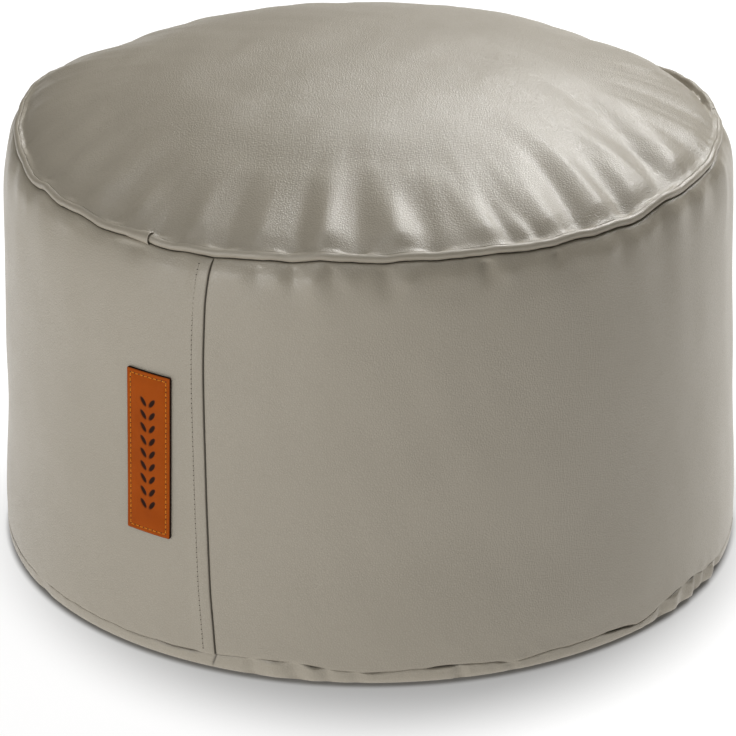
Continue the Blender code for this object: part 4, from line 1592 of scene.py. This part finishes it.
@dataclass
class Piping:
    """One length of piping along the top seam, whose last end may be a flared sleeve."""

    name: str
    start: float
    stop: float
    sleeve: bool
    step: float = 0.5
    sides: int = 20
    sleeve_span: float = 6.5
    sleeve_flare: float = 0.55
    lip: float = 0.0005
    mouth_depth: float = 0.9
    end_round: float = 0.55

    def radius(self, angle: Array) -> Array:
        """Return the piping's radius along its length.

        Args:
            angle: Angles in degrees.

        Returns:
            Radii in metres, wider in the sleeve.
        """
        radius = FORM.piping_radius * (1.0 + waving(PIPING_UNEVEN, angle))
        if self.sleeve:
            left = self.stop - angle
            radius = radius * (1.0 + self.sleeve_flare * ease(1.0 - left / self.sleeve_span) ** 1.4)
        return radius

    def rings(self, angle: Array, radius: Array) -> Array:
        """Return rings of points round the piping.

        Args:
            angle: The rings' angles in degrees.
            radius: Their radii in metres.

        Returns:
            Points of shape (angles, sides, 3).
        """
        turn = np.radians(angle)[:, None]
        around = (np.arange(self.sides) * math.tau / self.sides)[None, :]
        out = FORM.seam_radius + FORM.seam_draw(angle)[:, None] + radius[:, None] * np.cos(around)
        up = FORM.seam_height + FORM.seam_lift(angle)[:, None] + radius[:, None] * np.sin(around)
        return np.stack((out * np.cos(turn) + FORM.seam_shift, out * np.sin(turn), up), axis=-1)

    def build(self) -> bpy.types.Object:
        """Build the length, with rounded ends or a sleeve with a turned-in lip."""
        angle = np.arange(self.start, self.stop, self.step)
        begin_angle = self.start + self.end_round * np.array([0.0, 0.08, 0.25, 0.55])
        begin_radius = self.radius(begin_angle) * np.array([0.55, 0.80, 0.93, 0.99])
        inner = angle[(angle > self.start + self.end_round) & (angle < self.stop - self.end_round)]
        parts = [self.rings(begin_angle, begin_radius), self.rings(inner, self.radius(inner))]
        if self.sleeve:
            mouth = self.radius(np.array([self.stop]))[0]
            lip_angle = self.stop - np.array([0.30, 0.12, 0.03, 0.0, 0.03, 0.12, self.mouth_depth])
            lip_radius = mouth + self.lip * np.array([0.1, 0.5, 0.3, -0.2, -0.8, -1.2, -2.0])
            parts.append(self.rings(lip_angle, lip_radius))
        else:
            end_angle = self.stop - self.end_round * np.array([0.55, 0.25, 0.08, 0.0])
            parts.append(self.rings(end_angle, self.radius(end_angle) * np.array([0.99, 0.93, 0.80, 0.55])))
        rings = np.concatenate(parts)
        return lofted(self.name, rings, tuple(rings[0].mean(0)), tuple(rings[-1].mean(0)))


TOPSTITCH_FROM_TOP = 0.0065
TOPSTITCH_FROM_FOOT = 0.0035


@dataclass
class Stitching:
    """A row of stitches: short humps of thread that go down into the leather at both ends."""

    name: str
    thickness: float
    gap: float
    hump: float
    sides: int = 8
    steps: int = 9
    hole_radius: float = 0.00062

    def build(self, ends: Array, out: Array) -> bpy.types.Object:
        """Build the thread.

        Args:
            ends: Where one stitch ends and the next begins, of shape (stitches + 1, 3).
            out: The leather's outward directions there.

        Returns:
            The object, one closed hump for each stitch.
        """
        rng = np.random.default_rng(40)
        share = np.linspace(0.0, 1.0, self.steps)
        around = np.arange(self.sides) * math.tau / self.sides
        points, faces, offset = [], [], 0
        for first, last, up in zip(ends[:-1], ends[1:], out[:-1]):
            way = last - first
            length = np.linalg.norm(way)
            way = way / length
            side = np.cross(up, way)
            side = side + up * rng.normal() * 0.05
            begin, run = 0.5 * self.gap, length - self.gap
            centre = first + way * (begin + share[:, None] * run)
            rise = self.hump * (1.0 - (2.0 * share - 1.0) ** 4) - 0.35 * self.thickness
            centre = centre + up * rise[:, None] + side * rng.normal() * 0.04 * MM
            width = 0.5 * self.thickness * (0.45 + 0.55 * np.sqrt(1.0 - (2.0 * share - 1.0) ** 6))
            ring = side * np.cos(around)[:, None] + up * np.sin(around)[:, None]
            points.append((centre[:, None] + ring[None] * width[:, None, None]).reshape(-1, 3))
            here = np.arange(self.steps * self.sides).reshape(self.steps, self.sides) + offset
            after = np.roll(here, -1, axis=1)
            quads = np.stack((here[:-1], after[:-1], after[1:], here[1:]), axis=-1).reshape(-1, 4)
            faces += quads.tolist() + [here[0, ::-1].tolist(), here[-1].tolist()]
            offset += self.steps * self.sides
        return self.joined(self.name, points, faces)

    def holes(self, ends: Array, out: Array) -> bpy.types.Object:
        """Build the needle holes at the stitches' ends, as shallow dimples that carry the holes' painted shade.

        Args:
            ends: Where they are.
            out: The leather's outward directions there.

        Returns:
            The object, one small closed lens for each hole.
        """
        around = np.arange(self.sides) * math.tau / self.sides
        points, faces, offset = [], [], 0
        for spot, up in zip(ends, out):
            side = np.cross(up, (0.0, 0.0, 1.0))
            side = side / max(np.linalg.norm(side), 1e-6)
            other = np.cross(up, side)
            ring = side * np.cos(around)[:, None] + other * np.sin(around)[:, None]
            rim = spot + ring * self.hole_radius
            points.append(np.concatenate((rim, [spot + up * 0.04 * MM, spot - up * 0.25 * MM])))
            top, low = offset + self.sides, offset + self.sides + 1
            for i in range(self.sides):
                here, after = offset + i, offset + (i + 1) % self.sides
                faces += [[here, top, after], [after, low, here]]
            offset += self.sides + 2
        return self.joined(self.name + "_holes", points, faces)

    def joined(self, name: str, points: list, faces: list) -> bpy.types.Object:
        """Join the pieces of a row into one object."""
        return made(name, np.concatenate(points), faces)


def topstitch_path(side: SidePanel) -> tuple:
    """Return the ends of the side seam's topstitches.

    Args:
        side: The panel that they hold.

    Returns:
        Points on the leather and their outward directions, each of shape (stitches + 1, 3).
    """
    top, foot = FORM.seam_height - TOPSTITCH_FROM_TOP, FORM.base_seam_height + TOPSTITCH_FROM_FOOT
    height = np.linspace(top, foot, round((top - foot) / side.topstitch_pitch) + 1)
    seam = FORM.side_seam(height)
    angle = seam - np.degrees(side.stitch_line / FORM.wall_radius(height))
    unbent = angle + (FORM.seam_home() - seam)
    ends = [side.surface(np.array([[up]]), np.array([near]))[0, 0] for up, near in zip(height, unbent)]
    return np.array(ends), polar(angle, 1.0, 0.0, 0.0)


class Lamp(NamedTuple):
    """A soft area light that looks at the stool: where it hangs, how wide it is and how strong."""

    name: str
    azimuth: float
    elevation: float
    size: float
    watts: float


@dataclass
class Studio:
    """A pale floor that glows, with a painted shadow, soft lights and the camera."""

    camera_place: tuple = (0.0, -2.15861, 1.07281)
    camera_dip: float = 24.007
    lens: float = 163.232
    sensor: float = 36.0
    picture_side: float = 736.0
    middle_offset: float = 2.513
    floor_side: float = 14.0
    floor_colour: tuple = (0.28, 0.28, 0.279)
    floor_roughness: float = 0.9
    floor_shine: float = 0.2
    speck_scale: float = 3.0
    speck_shade: float = 0.985
    floor_white: float = 0.88
    floor_glow: tuple = (0.860, 0.842, 0.812)
    under_glow: float = 0.1
    bounce_from: float = 0.246
    bounce_to: float = 0.264
    shadow_floor: float = 0.33
    shadow_from: float = 0.250
    shadow_to: float = 0.362
    shadow_stretch: float = 1.20
    shadow_shift: float = 0.012
    # Painted contact shadow at the stool's foot.
    contact_shadow_from: float = 0.2566
    contact_shadow_to: float = 0.2634
    contact_shadow_share: float = 0.13
    aim_height: float = 0.18
    lamp_distance: float = 2.6
    lamp_colour: tuple = (1.0, 0.996, 0.985)
    lamps: tuple = (
        Lamp("key", 45.0, 45.0, 1.2, 45.0),
        Lamp("rim", 75.0, 40.0, 1.2, 20.0),
        Lamp("top", 0.0, 85.0, 1.0, 12.0),
        Lamp("strip", 225.0, 12.0, 0.9, 18.0),
        Lamp("fill", 225.0, 60.0, 1.2, 8.0),
    )
    sky: float = 0.0

    def floor(self) -> None:
        """Build the floor."""
        half = 0.5 * self.floor_side
        corners = np.array([(-half, -half, 0.0), (half, -half, 0.0), (half, half, 0.0), (-half, half, 0.0)])
        obj = made("floor", corners, [(0, 1, 2, 3)])
        obj.data.materials.append(self.floor_material())

    def floor_material(self) -> bpy.types.Material:
        """Build the floor's finish: pale paint that glows, with the stool's soft shadow and its dark line of
        contact painted into the glow that the camera sees.
        """
        material, wire, shader = new_material("studio_floor")
        place = wire.add("ShaderNodeTexCoord").outputs["Object"]
        noise = wire.add("ShaderNodeTexNoise", values={"Scale": self.speck_scale}, links={"Vector": place})
        darker = tuple(self.speck_shade * part for part in self.floor_colour)
        colour = wire.blend(noise.outputs["Fac"], self.floor_colour, darker)
        material.node_tree.links.new(colour, shader.inputs["Base Color"])
        shader.inputs["Roughness"].default_value = self.floor_roughness
        shader.inputs["Specular IOR Level"].default_value = self.floor_shine
        from_middle = wire.add("ShaderNodeVectorMath", operation="LENGTH", links={0: place}).outputs["Value"]
        # Painted shadow: a soft oval round the stool, darker towards it.
        beside = wire.add("ShaderNodeVectorMath", operation="SUBTRACT",
                          values={1: (self.shadow_shift, 0.0, 0.0)}, links={0: place})
        oval = wire.add("ShaderNodeVectorMath", operation="MULTIPLY",
                        values={1: (self.shadow_stretch, 1.0, 1.0)}, links={0: beside.outputs[0]})
        reach = wire.add("ShaderNodeVectorMath", operation="LENGTH", links={0: oval.outputs[0]})
        away = wire.ranged(reach.outputs["Value"], self.shadow_from, self.shadow_to)
        shaded = self.floor_white * self.shadow_floor
        open_floor = wire.blend(away, (shaded,) * 3, (self.floor_white,) * 3)
        # Painted shadow: a dark line where the stool touches the floor.
        in_contact_shadow = wire.ranged(from_middle, self.contact_shadow_from, self.contact_shadow_to)
        seen = wire.blend(in_contact_shadow, (self.contact_shadow_share * shaded,) * 3, open_floor)
        # The camera sees the painted shadows; other rays see a floor that glows as a light for the stool,
        # dimmed under it as painted shade.
        eye = wire.add("ShaderNodeLightPath").outputs["Is Camera Ray"]
        beyond = wire.ranged(from_middle, self.bounce_from, self.bounce_to)
        under_stool = tuple(self.under_glow * part for part in self.floor_glow)
        glow = wire.blend(eye, wire.blend(beyond, under_stool, self.floor_glow), seen)
        material.node_tree.links.new(glow, shader.inputs["Emission Color"])
        shader.inputs["Emission Strength"].default_value = 1.0
        return material

    def lights(self) -> None:
        """Hang the lamps and light the room."""
        target = Vector((0.0, 0.0, self.aim_height))
        for lamp in self.lamps:
            around, up = math.radians(lamp.azimuth), math.radians(lamp.elevation)
            way = Vector((math.cos(around) * math.cos(up), math.sin(around) * math.cos(up), math.sin(up)))
            data = bpy.data.lights.new(lamp.name, "AREA")
            data.shape = "DISK"
            data.size = lamp.size
            data.energy = lamp.watts
            data.color = self.lamp_colour
            obj = bpy.data.objects.new(lamp.name, data)
            obj.location = target + way * self.lamp_distance
            obj.rotation_euler = (-way).to_track_quat("-Z", "Y").to_euler()
            bpy.context.scene.collection.objects.link(obj)
        world = bpy.data.worlds.new("studio")
        world.use_nodes = True
        background = world.node_tree.nodes["Background"]
        background.inputs["Color"].default_value = (1.0, 1.0, 1.0, 1.0)
        background.inputs["Strength"].default_value = self.sky
        bpy.context.scene.world = world

    def camera(self) -> None:
        """Place the camera at the photograph's viewing angle."""
        data = bpy.data.cameras.new("camera")
        data.sensor_fit = "HORIZONTAL"
        data.sensor_width = self.sensor
        data.lens = self.lens
        data.shift_x = -self.middle_offset / self.picture_side
        obj = bpy.data.objects.new("camera", data)
        obj.location = self.camera_place
        obj.rotation_euler = (math.radians(90.0 - self.camera_dip), 0.0, 0.0)
        bpy.context.scene.collection.objects.link(obj)
        bpy.context.scene.camera = obj
        bpy.context.scene.view_settings.view_transform = "Standard"

    def build(self) -> None:
        """Build the studio."""
        self.floor()
        self.lights()
        self.camera()
        log.info("studio: %d lamps", len(self.lamps))


def main() -> None:
    """Build the footstool's pieces in the order in which they are sewn, and the studio."""
    logging.basicConfig(level=logging.INFO, format="%(name)s: %(message)s")
    Studio().build()
    shared = SharedEffects()
    cover, stretched, trim = (leather.material(shared) for leather in (COVER, STRETCHED, TRIM))

    side_panel = SidePanel()
    for panel, finish, node in (
        (BasePanel(), stretched, "base_panel"),
        (side_panel, stretched, "side_panel"),
        (TopPanel(), cover, "top_panel"),
    ):
        piece = panel.build()
        settle_piece(piece, finish, "cover", node)

    front = Piping("piping_front", -125.8, 4.0, sleeve=False)
    settle_piece(front.build(), trim, "piping", "top_piping_front")
    back = Piping("piping_back", 4.1, 235.0, sleeve=True)
    settle_piece(back.build(), trim, "piping", "top_piping_back")

    patch = side_panel.patch
    settle_piece(patch.build(), PatchLeather().material(shared), "patch", "label_patch")
    border = Stitching("patch_stitches", thickness=0.0008, gap=0.0007, hump=0.00035)
    seam = Stitching("side_stitches", thickness=0.0007, gap=0.0010, hump=0.00018, hole_radius=0.00060)
    for stitching, path, thread, hole in (
        (border, patch.stitch_path(), ORANGE_THREAD, NeedleHole()),
        (seam, topstitch_path(side_panel), GREIGE_THREAD, SEAM_HOLE),
    ):
        settle_piece(stitching.build(*path), thread.material(), "")
        settle_piece(stitching.holes(*path), hole.material(), "")


if __name__ == "__main__":
    main()
